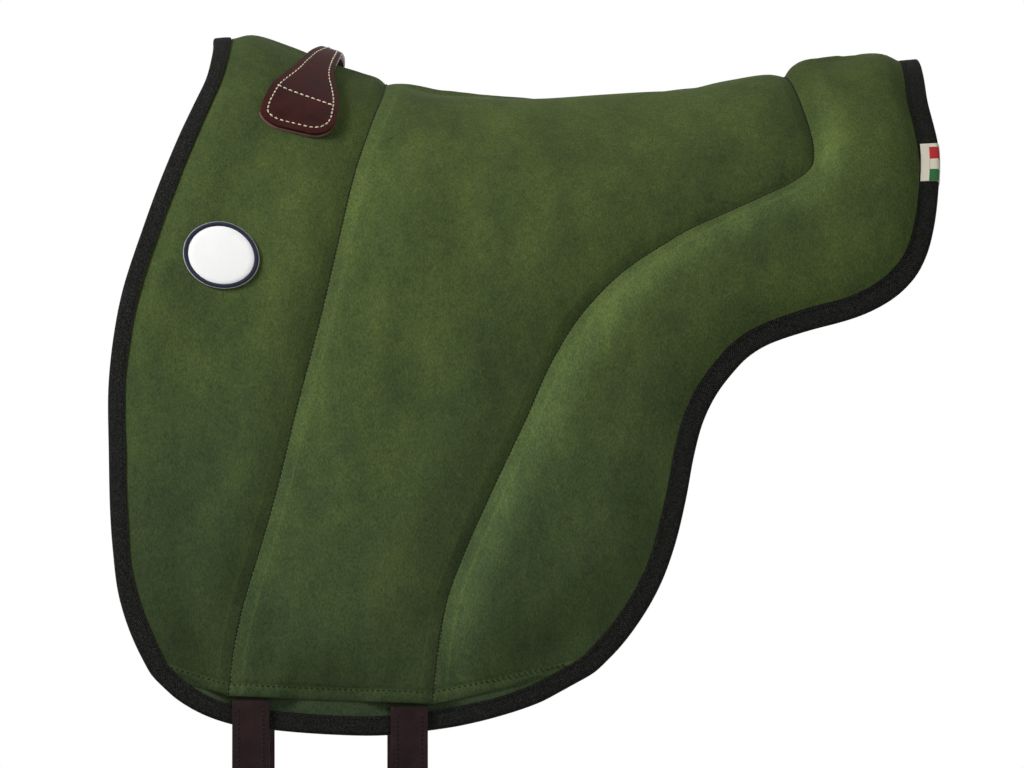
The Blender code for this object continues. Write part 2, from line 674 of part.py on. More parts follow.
def billet_layer(name, thickness, skive, finish):
    """One leather layer, flat in its own frame: x across, y up the strap, z from its inner face.

    The top end is skived up to the other layer, so that the pair turns within the hinge circle:
    a skive above zero rises at the inner face, one below zero at the outer face.
    """
    model = bmesh.new()
    loops = [billet_outline()]
    radius = HOLE_DIAMETER / 2
    for centre in billet_holes():
        turns = [2 * math.pi * side / HOLE_SIDES for side in range(HOLE_SIDES)]
        loops.append([(radius * math.cos(turn), centre + radius * math.sin(turn)) for turn in turns])
    for loop in loops:
        corners = [model.verts.new((across, along, 0.0)) for across, along in loop]
        for corner, following in zip(corners, corners[1:] + corners[:1]):
            model.edges.new((corner, following))
    bmesh.ops.triangle_fill(model, use_beauty=True, edges=model.edges)
    raised = bmesh.ops.extrude_face_region(model, geom=model.faces[:])
    upper = [part for part in raised["geom"] if isinstance(part, bmesh.types.BMVert)]
    bmesh.ops.translate(model, verts=upper, vec=(0.0, 0.0, thickness))
    inner_level = thickness if skive < 0 else 0.0
    for corner in model.verts:
        if corner.co.y == 0 and abs(corner.co.z - inner_level) < thickness / 2:
            corner.co.y = abs(skive)
    bmesh.ops.recalc_face_normals(model, faces=model.faces)
    mesh = bpy.data.meshes.new(name)
    model.to_mesh(mesh)
    model.free()
    mesh.materials.append(finish)
    item = bpy.data.objects.new(name, mesh)
    bpy.context.collection.objects.link(item)
    return item


def make_billets(pattern, face_finish, back_finish):
    """Four billets, each of two layers under a hinge empty, and their sewn roots."""
    turn_radius = BILLET_THICKNESS / 2
    for side, sign in (("near", -1.0), ("off", 1.0)):
        for place, centre_x in (("front", FRONT_BILLET_X), ("rear", REAR_BILLET_X)):
            lip = lip_at(pattern, centre_x)
            axis_s = lip + turn_radius + LIP_CLEARANCE
            half = BILLET_WIDTH / 2
            flap_box(
                f"{side}_{place}_billet_root", (centre_x - half, centre_x + half),
                (lip - ROOT_LENGTH, axis_s - turn_radius - LAYER_GAP), (BILLET_FLOOR, BILLET_TOP),
                sign, face_finish,
            )
            hinge = bpy.data.objects.new(f"{side}_{place}_billet_hinge", None)
            hinge.location = arch_points(centre_x, sign * axis_s, AXIS_LIFT)
            hinge.rotation_euler = (FLAP_SLOPE, 0.0, 0.0 if sign < 0 else math.pi)
            bpy.context.collection.objects.link(hinge)
            for layer, thickness, start in (
                ("face", FACE_LEATHER, turn_radius - FACE_LEATHER),
                ("back", BACK_LEATHER, -turn_radius),
            ):
                finish = face_finish if layer == "face" else back_finish
                skive = thickness if layer == "face" else -thickness
                item = billet_layer(f"{side}_{place}_billet_{layer}", thickness, skive, finish)
                item.parent = hinge
                item.location = (0.0, 0.0, start)


def handle_half_width(distance):
    """Width of the handle at a distance from the spine, along its rear side's straight line."""
    grown = smooth_curve(HANDLE_WIDTH_SHARES, np.minimum(distance / HANDLE_REACH, HANDLE_WIDTH_SHARES[-1][0]))
    return HANDLE_NECK + (HANDLE_TAB - HANDLE_NECK) * grown


def handle_grid():
    """Places of the handle's outline rows: front and rear sides, with round tab corners."""
    along = HANDLE_REACH * np.array(HANDLE_END_SHARES)
    width = handle_half_width(along)
    corner = HANDLE_REACH * HANDLE_CORNER_SHARE
    past = np.clip((along - (HANDLE_REACH - corner)) / corner, 0.0, 1.0)
    drawn_in = HANDLE_TAB * HANDLE_CORNER_SHARE * (1 - np.sqrt(1 - past ** 2))
    front = HANDLE_REAR_X - width + drawn_in
    rear = HANDLE_REAR_X - drawn_in
    shares = np.linspace(0.0, 1.0, HANDLE_COLUMNS)
    x = front[:, None] + (rear - front)[:, None] * shares
    s = np.repeat(along[:, None], len(shares), axis=1)
    return np.stack([x, s], axis=-1)


def make_handle(finish, lower_finish):
    """Two leather layers from tab to tab, sewn down at the tabs and free over the spine."""
    x, s = both_sides_places(handle_grid())
    free = np.clip(1 - np.abs(s) / HANDLE_SEWN, 0.0, 1.0)
    seat = FRONT_TOP + WRAP_GAP + FINGER_GAP * (3 * free ** 2 - 2 * free ** 3)
    middle = len(HANDLE_END_SHARES) - 1
    sheet_object("handle_backing", x, s, seat, seat + HANDLE_LOWER, lower_finish, middle)
    upper = seat + HANDLE_LOWER + LAYER_GAP
    sheet_object("handle_strap", x, s, upper, upper + HANDLE_UPPER, finish, middle)


def badge_disc(name, ring_shares, low, high, finish):
    """An oval patch or ring that follows the front cover, between two lifts above it."""
    turns = 2 * math.pi * np.arange(BADGE_SPOKES) / BADGE_SPOKES
    shares = np.array([share for share in ring_shares if share > 0])
    front_edge = HALF_SPINE * float(smooth_curve(FRONT_EDGE_SHARES, BADGE_S / DROP))
    centre_x = front_edge + BADGE_INSET
    along = BADGE_LENGTH / 2 * shares[:, None] * np.cos(turns)
    down = BADGE_HEIGHT / 2 * shares[:, None] * np.sin(turns)
    stretch = side_stretch(centre_x, BADGE_S)
    x = centre_x + along * math.cos(BADGE_TILT) - down * math.sin(BADGE_TILT)
    s = -(BADGE_S + (along * math.sin(BADGE_TILT) + down * math.cos(BADGE_TILT)) / stretch)
    x, s = x.ravel(), s.ravel()
    solid = ring_shares[0] == 0
    if solid:
        x, s = np.append(x, centre_x), np.append(s, -BADGE_S)
    count, rings = len(x), len(shares)
    vertices = np.concatenate([arch_points(x, s, low), arch_points(x, s, high)])
    faces = []
    for ring in range(rings - 1):
        for spoke in range(BADGE_SPOKES):
            beside = (spoke + 1) % BADGE_SPOKES
            a, b = ring * BADGE_SPOKES + spoke, ring * BADGE_SPOKES + beside
            c, d = b + BADGE_SPOKES, a + BADGE_SPOKES
            faces += [(a, b, c), (a, c, d), (a + count, c + count, b + count), (a + count, d + count, c + count)]
    walls = [rings - 1] if solid else [0, rings - 1]
    for spoke in range(BADGE_SPOKES):
        beside = (spoke + 1) % BADGE_SPOKES
        if solid:
            faces += [(count - 1, spoke, beside), (2 * count - 1, beside + count, spoke + count)]
        for ring in walls:
            a, b = ring * BADGE_SPOKES + spoke, ring * BADGE_SPOKES + beside
            faces += [(a, b, b + count), (a, b + count, a + count)]
    return mesh_object(name, vertices, faces, finish)


def make_badge(patch_finish, border_finish):
    """The oval patch and the raised border round it."""
    floor = FRONT_TOP + WRAP_GAP
    inner = 1 - 2 * BADGE_BORDER / BADGE_HEIGHT
    joint = 2 * LAYER_GAP / BADGE_HEIGHT
    patch_rings = tuple(share * (inner - joint) for share in BADGE_RING_SHARES)
    badge_disc("badge_patch", patch_rings, floor, floor + BADGE_THICKNESS, patch_finish)
    badge_disc("badge_border", (inner, 1.0), floor, floor + BADGE_BORDER_HEIGHT, border_finish)


def main():
    clear_scene()
    pattern = make_pattern()
    suede = material("green_suede", SUEDE, 0.92)
    leather = material("brown_leather", LEATHER, 0.45)
    leather_edge = material("leather_underlayer", LEATHER_EDGE, 0.6)
    make_lining(pattern, material("grey_felt", FELT, 0.95))
    foams = make_cushions(pattern, foam_tops(pattern), material("foam", FOAM_TINT, 0.9), suede)
    make_binding(pattern, material("black_tape", TAPE_TINT, 0.8))
    make_skirts(pattern, material("dark_suede", SUEDE_DARK, 0.92))
    make_webs(pattern, foams, material("webbing", WEB_TINT, 0.8))
    make_billets(pattern, leather, leather_edge)
    make_handle(leather, leather_edge)
    make_badge(material("patch_cloth", PATCH_TINT, 0.6), material("border_thread", BORDER_TINT, 0.6))
    make_tag(pattern, material("tag_weave", TAG_TINT, 0.8))


main()
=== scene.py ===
"""Bareback pad: the suede, foam, tape, leather and thread that dress its solids.

A place on the pad is an x along the spine, front to rear, and an s down the side from the spine,
minus on the near side. Every soft layer is wrapped over the same arch and stands off it by its lift.
"""

import math

import bmesh
import bpy
import numpy as np
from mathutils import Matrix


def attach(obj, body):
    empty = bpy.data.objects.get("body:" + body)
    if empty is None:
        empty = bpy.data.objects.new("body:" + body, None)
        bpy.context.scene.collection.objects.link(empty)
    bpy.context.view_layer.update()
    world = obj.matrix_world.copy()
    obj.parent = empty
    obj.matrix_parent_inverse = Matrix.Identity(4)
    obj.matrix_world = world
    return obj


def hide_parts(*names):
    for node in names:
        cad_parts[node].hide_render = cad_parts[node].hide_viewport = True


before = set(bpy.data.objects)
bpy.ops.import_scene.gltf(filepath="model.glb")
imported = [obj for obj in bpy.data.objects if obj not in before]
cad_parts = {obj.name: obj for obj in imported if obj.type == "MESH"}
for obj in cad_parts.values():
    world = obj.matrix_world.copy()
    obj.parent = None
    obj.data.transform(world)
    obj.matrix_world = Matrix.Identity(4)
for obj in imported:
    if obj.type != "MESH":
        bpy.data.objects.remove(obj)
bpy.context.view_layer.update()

# Sizes of the pad, in metres
HALF_SPINE = 0.273
DROP = 0.568
ARCH_RADIUS = 0.170
FLAP_SLOPE = math.radians(83.0)
RIDGE_RISE = 0.060
RIDGE_FADE = 0.300
JOINT_GAP = 0.0003
WRAP_GAP = 0.0008
LINING = 0.0024
FLOOR = LINING + JOINT_GAP
COVER = 0.0014
SEAM_FOAM = 0.0040
RIM_TOP = 0.0060
SEAM_TOP = 0.0084
FRONT_CROWN = 0.0065
SEAT_CROWN = 0.011
REAR_CREST = 0.020
REAR_TAIL = 0.009
RIM_WIDTH = 0.0140
EDGE_SHOULDER = 0.026
SEAM_SHOULDER = 0.028
SEAT_SHOULDER = 0.055
PINCH_WIDTH = 0.013
LIP_SHOULDER = 0.040
POCKET_DEPTH = 0.050
POCKET_FADE = 0.030
HEM_TOP = 0.0143
HEM_INSET = 0.0087
ALLOWANCE = 0.0092
SWELL_LIMIT = 0.0050
SKIRT_TOP = 0.0060
SKIRT_TUCK = 0.020
WEB_FLOOR = LINING + 0.0013
WEB_THICKNESS = 0.0015
WEB_CLIMB = 0.020
WEB_HALF_WIDTH = 0.014
BILLET_FLOOR = 0.0083
FACE_LEATHER = 0.0022
BACK_LEATHER = 0.0018
BILLET_STACK = FACE_LEATHER + JOINT_GAP + BACK_LEATHER
BILLET_WIDTH = 0.028
BILLET_LENGTH = 0.355
BILLET_POINT = 0.030
BILLET_X = {"front": -0.2435, "rear": -0.1245}
WEB_SPINE_X = {"front": -0.222, "rear": -0.118}
HINGE_DROP = BILLET_STACK / 2 + 0.00045
HOLE_RADIUS = 0.0025
HOLE_PITCH = 0.026
HOLE_COUNT = 6
FIRST_HOLE = 0.048
HANDLE_REACH = 0.1295
HANDLE_SEWN = 0.089
HANDLE_SWAY = 0.0080
SWAY_REACH = 0.12
HANDLE_LAYER = 0.0024
HANDLE_FLOOR = FLOOR + SEAM_FOAM + FRONT_CROWN + JOINT_GAP + COVER + WRAP_GAP
HANDLE_DOME = 0.0004
# The cross line on a tab: its two ends' x, then their distances from the spine
HANDLE_CROSS = ((-0.2310, -0.1860), (0.0955, 0.1000))
FINGER_GAP = 0.0062
BADGE_X = -0.2665
BADGE_S = 0.217
BADGE_HALVES = (0.0285, 0.0240)
BADGE_TILT = math.radians(16.0)
BADGE_FLOOR = HANDLE_FLOOR
TAG_TOP = 0.134
TAG_LENGTH = 0.033
TAPE_LEG = 0.0132
# The hem's stitches run between these two x
HEM_STITCHED = (-0.311, -0.006)
# Stitches: pitch, length, radius
SEAM_STITCH = (0.0032, 0.0021, 0.00060)
HEM_STITCH = (0.0042, 0.0027, 0.00068)
HANDLE_STITCH = (0.0046, 0.0036, 0.00062)
BILLET_STITCH = (0.0034, 0.0026, 0.00090)
HANDLE_INSET = 0.0046
BILLET_INSET = 0.0047
STITCH_LIFT = 0.0003

# Outlines: (s as a share of DROP, x as a share of HALF_SPINE)
OUTLINES = {
    "front_edge": (
        (0.0, -1.0), (0.092, -1.0), (0.156, -1.020), (0.196, -1.052), (0.242, -1.093), (0.342, -1.181),
        (0.430, -1.249), (0.474, -1.267), (0.521, -1.278), (0.620, -1.278), (0.752, -1.266),
        (0.816, -1.248), (0.871, -1.210), (0.918, -1.161),
    ),
    "front_seam": (
        (0.0, -0.520), (0.118, -0.537), (0.200, -0.574), (0.250, -0.602), (0.330, -0.641),
        (0.438, -0.697), (0.551, -0.760), (0.681, -0.826), (0.756, -0.870), (0.818, -0.909),
        (0.874, -0.936), (0.949, -0.955),
    ),
    "rear_seam": (
        (0.0, 0.622), (0.075, 0.635), (0.140, 0.651), (0.190, 0.668), (0.225, 0.677), (0.258, 0.661),
        (0.280, 0.598), (0.305, 0.445), (0.326, 0.330), (0.347, 0.254), (0.377, 0.156), (0.428, 0.041),
        (0.499, -0.057), (0.579, -0.132), (0.661, -0.213), (0.741, -0.288), (0.818, -0.350),
        (0.882, -0.376), (0.960, -0.393),
    ),
    "rear_edge": (
        (0.0, 1.0), (0.110, 1.0), (0.168, 1.003), (0.203, 1.013), (0.235, 1.022), (0.296, 1.015),
        (0.342, 0.998), (0.374, 0.975), (0.399, 0.940), (0.426, 0.862), (0.441, 0.785), (0.458, 0.650),
        (0.475, 0.540), (0.490, 0.486), (0.513, 0.438), (0.536, 0.400), (0.578, 0.354), (0.622, 0.328),
        (0.685, 0.303), (0.752, 0.268), (0.798, 0.232), (0.846, 0.175), (0.882, 0.118), (0.914, 0.052),
    ),
}
# The bottom edge and the spine: (x as a share of HALF_SPINE, share of DROP or of RIDGE_RISE)
BOTTOM_EDGE = (
    (-1.102, 0.946), (-1.041, 0.964), (-0.948, 0.981), (-0.830, 0.989), (-0.677, 0.995), (-0.515, 0.996),
    (-0.403, 0.990), (-0.332, 0.985), (-0.231, 0.974), (-0.148, 0.962), (-0.086, 0.951),
)
RIDGE = (
    (-1.25, 0.98), (-1.01, 0.96), (-0.96, 0.975), (-0.90, 0.905), (-0.82, 0.73), (-0.74, 0.585),
    (-0.67, 0.475), (-0.60, 0.41), (-0.524, 0.36), (-0.47, 0.285), (-0.40, 0.145), (-0.32, 0.05),
    (-0.22, 0.01), (-0.08, -0.005), (0.08, 0.035), (0.22, 0.07), (0.36, 0.135), (0.48, 0.28),
    (0.57, 0.425), (0.64, 0.455), (0.72, 0.40), (0.80, 0.475), (0.90, 0.64), (1.01, 0.705), (1.25, 0.75),
)
# The handle's front and rear edges: (distance from the spine, x)
HANDLE_FRONT = (
    (0.0, -0.1985), (0.0200, -0.2024), (0.0365, -0.2076), (0.0550, -0.2136), (0.0705, -0.2200),
    (0.0820, -0.2268), (0.0905, -0.2322), (0.1040, -0.2372), (0.1135, -0.2400), (0.1205, -0.2410),
)
HANDLE_REAR = (
    (0.0, -0.1820), (0.0250, -0.1830), (0.0440, -0.1853), (0.0600, -0.1866), (0.0700, -0.1855),
    (0.0795, -0.1831), (0.0930, -0.1808), (0.1020, -0.1807), (0.1085, -0.1816),
)
# Rows run down the side: even steps over the arch, then shares of the outline's length to the lip
ARCH_ROWS, LIP_ROW, ROW_STEP = 6, 18, 0.025
ROW_SHARES = (0.0, 0.069, 0.144, 0.227, 0.317, 0.413, 0.512, 0.611, 0.707, 0.797, 0.877, 0.944, 1.0)
BESIDE = np.array([0.00015, 0.0010, 0.0024, 0.0044, 0.0070, 0.0105, 0.0150, 0.0205, 0.0275, 0.0355])
HEM_STEPS = np.array([0.0, 0.0004, 0.0012, 0.0024, 0.0040, 0.0058, 0.0074, 0.0090, 0.0108, 0.0130, 0.0165])


# Shapes on the arch

def smooth_curve(points, at):
    """Cubic Hermite through the (place, value) points, its slopes by central differences."""
    place, value = np.array(points, dtype=float).T
    slope = np.gradient(value, place)
    at = np.clip(np.asarray(at, dtype=float), place[0], place[-1])
    left = np.clip(np.searchsorted(place, at, side="right") - 1, 0, len(place) - 2)
    span = place[left + 1] - place[left]
    t = (at - place[left]) / span
    start = (1 + 2 * t) * (1 - t) ** 2 * value[left] + t * (1 - t) ** 2 * span * slope[left]
    end = t * t * (3 - 2 * t) * value[left + 1] - t * t * (1 - t) * span * slope[left + 1]
    return start + end


def ease(share):
    """Smooth step from 0 to 1: 3t^2 - 2t^3."""
    share = np.clip(share, 0.0, 1.0)
    return share * share * (3 - 2 * share)


def bell(distance, middle, width):
    """Bell curve: 1 in the middle, 1/e the width away."""
    return np.exp(-((distance - middle) / width) ** 2)


def quarter_sine(share):
    """Quarter of a sine wave from 0 to 1."""
    return np.sin(np.pi / 2 * np.clip(share, 0, 1))


def rise(distance, width, power):
    """Quarter of a superellipse: 0 at no distance, 1 at the width."""
    return (1 - (1 - np.clip(distance / width, 0, 1)) ** power) ** (1 / power)


def ridge(x):
    """Rise of the spine line above its lowest place."""
    return RIDGE_RISE * smooth_curve(RIDGE, x / HALF_SPINE)


def arch_frame(x, s):
    """Point and outward normal at a place.

    Each side is a circular arc of ARCH_RADIUS over FLAP_SLOPE, then straight. The ridge's rise is
    added and fades down the side as half a cosine wave. The normal is square to both slopes.
    """
    x, s = np.broadcast_arrays(np.asarray(x, dtype=float), np.asarray(s, dtype=float))
    down, side = np.abs(s), np.where(s < 0, -1.0, 1.0)
    arc = ARCH_RADIUS * FLAP_SLOPE
    angle = np.minimum(down, arc) / ARCH_RADIUS
    straight = np.maximum(down - arc, 0.0)
    phase = np.pi * np.minimum(down, RIDGE_FADE) / RIDGE_FADE
    fade = (1 + np.cos(phase)) / 2
    fade_slope = -np.pi / RIDGE_FADE * np.sin(phase) / 2
    step = HALF_SPINE / 600
    lift, slope = ridge(x), (ridge(x + step) - ridge(x - step)) / (2 * step)
    across = ARCH_RADIUS * np.sin(angle) + straight * math.cos(FLAP_SLOPE)
    height = -ARCH_RADIUS * (1 - np.cos(angle)) - straight * math.sin(FLAP_SLOPE) + lift * fade
    normal = np.stack([-slope * fade * np.cos(angle), np.sin(angle) - lift * fade_slope, np.cos(angle)], -1)
    normal /= np.linalg.norm(normal, axis=-1, keepdims=True)
    flip = np.stack([np.ones_like(side), side, np.ones_like(side)], -1)
    return np.stack([x, across, height], -1) * flip, normal * flip


def on_arch(x, s, lift):
    """Points at the given places, lifted along the normal."""
    point, normal = arch_frame(x, s)
    return point + normal * np.asarray(lift)[..., None]


def spread(x, s):
    """Length on the arch of a unit step of s at a place."""
    step = 0.0003
    ends = on_arch(np.full(2, x), np.array([s - step, s + step]), np.zeros(2))
    return np.linalg.norm(ends[1] - ends[0]) / (2 * step)


def run_along(points):
    """Length along a line of points, from its start to each."""
    return np.concatenate([[0.0], np.cumsum(np.linalg.norm(np.diff(points, axis=0), axis=1))])


def at_lengths(path, length, at):
    """Places of a path at lengths along it."""
    return np.stack([np.interp(at, length, values) for values in path.T], 1)


def path_places(path, step):
    """A path of places, taken again at even steps along it."""
    length = run_along(path)
    return at_lengths(path, length, np.linspace(0.0, length[-1], max(int(round(length[-1] / step)) + 1, 2)))


def outline_rows(name, rows):
    """Places of the rows down an outline."""
    fine = np.linspace(0.0, OUTLINES[name][-1][0], 900)
    line = np.stack([HALF_SPINE * smooth_curve(OUTLINES[name], fine), DROP * fine], 1)
    length = run_along(line)
    arch_end = np.interp(ROW_STEP * ARCH_ROWS, line[:, 1], length)
    over_arch = np.interp(ROW_STEP * np.minimum(rows, ARCH_ROWS), line[:, 1], length)
    share = smooth_curve(list(enumerate(ROW_SHARES)), np.maximum(rows - ARCH_ROWS, 0.0))
    return at_lengths(line, length, over_arch + (length[-1] - arch_end) * share)


def beside_shares(width, middle):
    """Column shares of each row: the BESIDE distances at both ends, evenly spaced between."""
    fit = np.minimum(1.0, 0.36 * width / BESIDE[-1])[:, None]
    first = BESIDE[None, :] * fit / width[:, None]
    between = np.linspace(0.0, 1.0, middle + 2)[1:-1][None, :]
    inner = first[:, -1:] + (1 - 2 * first[:, -1:]) * between
    return np.concatenate([first, inner, 1 - first[:, ::-1]], 1)


def distance_to(path, places):
    """Distance of each place from a path of straight pieces."""
    start, along = path[:-1], np.diff(path, axis=0)
    offset = places[..., None, :] - start
    share = np.clip((offset * along).sum(-1) / (along * along).sum(-1), 0.0, 1.0)
    return np.sqrt((((offset - share[..., None] * along)) ** 2).sum(-1)).min(-1)


def both_sides(values):
    """One side's rows, doubled to run from the near hem over the spine to the off hem."""
    return np.concatenate([values[::-1], values[1:]], 0)


def near_to_off(values):
    """One side's rows, doubled as by both_sides, minus on the near side."""
    return np.concatenate([-values[::-1], values[1:]], 0)


def bottom_at(share):
    """Places on the bottom edge at shares of its reach, front to rear."""
    x = HALF_SPINE * (BOTTOM_EDGE[0][0] + (BOTTOM_EDGE[-1][0] - BOTTOM_EDGE[0][0]) * share)
    return np.stack([x, DROP * smooth_curve(BOTTOM_EDGE, x / HALF_SPINE)], 1)


LINES = {name: outline_rows(name, np.linspace(0.0, LIP_ROW, 109)) for name in OUTLINES}
LIP = np.array([line[-1] for line in LINES.values()])
BOTTOM = bottom_at(np.linspace(0.0, 1.0, 160))
# Each panel's front and rear line, and those of them that are seams
PANELS = {
    "front": ("front_edge", "front_seam", ("front_seam",)),
    "seat": ("front_seam", "rear_seam", ("front_seam", "rear_seam")),
    "rear": ("rear_seam", "rear_edge", ("rear_seam",)),
}


def flank_distance(places):
    """Distance from the nearer of the front and rear edges."""
    return np.minimum(distance_to(LINES["front_edge"], places), distance_to(LINES["rear_edge"], places))


def lip_places(step):
    """Places along the hem's lip, at even steps between its corners."""
    return np.concatenate([path_places(LIP[i: i + 2], step)[:-1] for i in range(3)] + [LIP[-1:]])


def soft_lumps(x, s, seed, size):
    """Gentle unevenness between -1 and 1: eight plane waves of about the given length, summed."""
    chance = np.random.default_rng(seed)
    turn, phase = chance.uniform(0, np.pi, 8), chance.uniform(0, 2 * np.pi, 8)
    count = 2 * np.pi / (size * chance.uniform(0.7, 1.5, 8))
    waves = np.sin((x[..., None] * np.cos(turn) + s[..., None] * np.sin(turn)) * count + phase)
    return waves.mean(-1) * 1.6


def seam_rise(name, seam, down):
    """Share of a panel's crown at a distance from its seams and down the side.

    A pinch beside the thread, as a quarter of a sine, then a slow smooth step. The rear bolster
    stands up as a quarter of a sine over its whole shoulder, which is steep over the spine.
    """
    pinch = quarter_sine(seam / PINCH_WIDTH)
    if name == "rear":
        shoulder = SEAM_SHOULDER * (0.45 + 0.55 * ease(down / 0.07)) + 0.024 * ease((down - 0.06) / 0.10)
        return 0.06 * pinch + 0.94 * quarter_sine(seam / shoulder)
    if name == "seat":
        return 0.22 * pinch + 0.78 * ease(seam / SEAT_SHOULDER)
    return 0.28 * pinch + 0.72 * ease(seam / (1.15 * SEAM_SHOULDER))


def cushion_lift(name, places, share, side):
    """Lift of a panel's suede, and its distances from seam, rim and hem.

    The crown falls to the rims and the hem as a quarter of a superellipse. The rear bolster is
    tallest at its seam. Over the spine, bell-shaped dips lower it by its seam, and the seat behind
    the front seam. A low ridge shows where the seam allowance ends. By the hem the suede is a flap,
    puffed below its stitches, that sags between the billets.
    """
    x, down = places[..., 0], places[..., 1]
    seam = np.min([distance_to(LINES[line], places) for line in PANELS[name][2]], axis=0)
    flank, bottom, hem = flank_distance(places), distance_to(BOTTOM, places), distance_to(LIP, places)
    lower, upper = ease((down - 0.18) / 0.20), 1 - ease(down / 0.07)
    if name == "rear":
        crest, tail = REAR_CREST - 0.0035 * lower, REAR_TAIL - 0.0035 * lower - 0.0015 * upper
        crown = crest + (tail - crest) * share - 0.0063 * upper * bell(share, 0.0, 0.16)
        lip_shoulder, softer = 2 * LIP_SHOULDER, lower
    else:
        seat = SEAT_CROWN - 0.0035 * upper * bell(share, 0.10, 0.09)
        crown = FRONT_CROWN if name == "front" else seat
        lip_shoulder, softer = LIP_SHOULDER, np.zeros_like(lower)
    swell = crown * seam_rise(name, seam, down) * rise(hem, lip_shoulder, 2.0)
    pocket = (HEM_TOP - RIM_TOP) * np.clip(1 - (hem - POCKET_DEPTH) / POCKET_FADE, 0, 1)
    edge = rise(flank - RIM_WIDTH - 0.0005, EDGE_SHOULDER * (1 + 0.7 * softer), 2.0 - 0.5 * softer)
    free = edge * ease((bottom - RIM_WIDTH) / 0.004)
    lumps = soft_lumps(x, down * side, 3, 0.110) * ease(seam / 0.05) * ease(hem / 0.05)
    allowance = 0.00045 * bell(seam, ALLOWANCE, 0.0015) * ease(hem / 0.02)
    groove = -0.0009 * bell(hem, HEM_INSET, 0.0014) - 0.0008 * bell(seam, 0.0, 0.0030) * ease(hem / 0.006)
    puff = 0.0005 * bell(hem, 0.0045, 0.0022) + 0.0004 * bell(hem, 0.0130, 0.0025)
    strap = np.min([np.abs(x - billet) for billet in BILLET_X.values()], axis=0)
    sag = 0.0068 * ease((strap - 0.0165) / 0.022) * ease(1 - hem / 0.050)
    body = np.maximum(SEAM_TOP - RIM_TOP + swell, pocket) + 0.0011 * lumps + allowance + groove + puff - sag
    return RIM_TOP + free * body, seam, np.minimum(flank, bottom), hem


def rubbed_nap(name, places):
    """Painted light and shade on the suede: a painted highlight above 0, painted shade below 0.

    Bell curves of the distances: a painted highlight along the bolster's shoulder down the side, and
    painted shade on the bolster over the spine; on the seat a painted highlight beside the front seam
    and painted shade on the lower side of the rear seam's valley; on the front panel painted shade by
    the front seam and along the front rim.
    """
    front_edge, front_seam, rear_seam = (distance_to(line, places) for line in list(LINES.values())[:3])
    if name == "rear":
        down = ease((places[..., 1] - 0.04) / 0.09)
        return 1.30 * down * bell(rear_seam, 0.013, 0.014) - 0.5 * (1 - down)
    if name == "seat":
        return 0.4 * bell(front_seam, 0.008, 0.007) - 0.55 * bell(rear_seam, 0.0, 0.020)
    return -0.5 * bell(front_seam, 0.0, 0.019) - 0.5 * bell(front_edge, 0.018, 0.040)


# Meshes

def put(name, data):
    """A new object in the scene."""
    item = bpy.data.objects.new(name, data)
    bpy.context.scene.collection.objects.link(item)
    return item


def plain_mesh(name, vertices, faces):
    """A mesh from arrays of points and faces."""
    mesh = bpy.data.meshes.new(name)
    mesh.from_pydata(np.asarray(vertices, dtype=float).tolist(), [], [list(face) for face in faces])
    mesh.update()
    return mesh


def mesh_piece(mesh, finish, body="pad", sharp=None):
    """A mesh as a piece of its name, smooth but for edges past the sharp angle, riding on a body."""
    mesh.shade_smooth()
    if sharp is not None:
        mesh.set_sharp_from_angle(angle=math.radians(sharp))
    mesh.materials.append(finish)
    piece = put(mesh.name, mesh)
    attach(piece, body)
    return piece


def face_outward(piece):
    """Turn the faces of a closed piece outward."""
    shell = bmesh.new()
    shell.from_mesh(piece.data)
    bmesh.ops.recalc_face_normals(shell, faces=shell.faces)
    shell.to_mesh(piece.data)
    shell.free()


def sheet_values(piece, **values):
    """Store numbers of a sheet's grid on both its faces, under names that materials read."""
    half = len(piece.data.vertices) // 2
    for name, value in values.items():
        layer = piece.data.attributes.new(name, "FLOAT", "POINT")
        layer.data.foreach_set("value", np.tile(np.broadcast_to(np.ravel(value), half), 2).astype(np.float32))


def corner_map(piece, *axes):
    """A UV map from the u and the v of each vertex, both in metres."""
    places = np.stack([values.ravel() for values in np.broadcast_arrays(*axes)], -1)
    layer = piece.data.uv_layers.new(name="UVMap")
    corners = np.zeros(len(piece.data.loops), dtype=np.int32)
    piece.data.loops.foreach_get("vertex_index", corners)
    layer.data.foreach_set("uv", places.astype(np.float32)[corners].ravel())


def grid_quads(rows, columns, around=False, along=False):
    """Quads of a grid of vertices, closed across its columns or its rows where asked."""
    counts = rows if along else rows - 1, columns if around else columns - 1
    row, column = np.meshgrid(*(np.arange(count) for count in counts), indexing="ij")
    first, second = row * columns, (row + 1) % rows * columns
    beside = (column + 1) % columns
    return np.stack([first + column, first + beside, second + beside, second + column], -1).reshape(-1, 4)


def rim_loop(rows, columns):
    """Indices round a grid's rim, in the turn of its faces."""
    return np.concatenate([
        np.arange(columns), np.arange(1, rows) * columns + columns - 1,
        (rows - 1) * columns + np.arange(columns - 2, -1, -1), np.arange(rows - 2, 0, -1) * columns,
    ])


def closed_sheet(name, x, s, low, high, finish, sharp=None):
    """A closed sheet over a grid of places between two lifts: lower grid, upper grid and a wall."""
    under, over = on_arch(x, s, low), on_arch(x, s, high)
    rows, columns = over.shape[:2]
    count = rows * columns
    quads, rim = grid_quads(rows, columns), rim_loop(rows, columns)
    following = np.roll(rim, -1)
    wall = np.stack([rim, following, following + count, rim + count], 1)
    faces = np.concatenate([quads[:, ::-1], quads + count, wall])
    normal = np.cross(over[1:, :-1] - over[:-1, :-1], over[:-1, 1:] - over[:-1, :-1])
    if float((normal * (over - under)[:-1, :-1]).sum()) > 0:
        faces = faces[:, ::-1]
    vertices = np.concatenate([under.reshape(-1, 3), over.reshape(-1, 3)])
    return mesh_piece(plain_mesh(name, vertices, faces), finish, sharp=sharp)


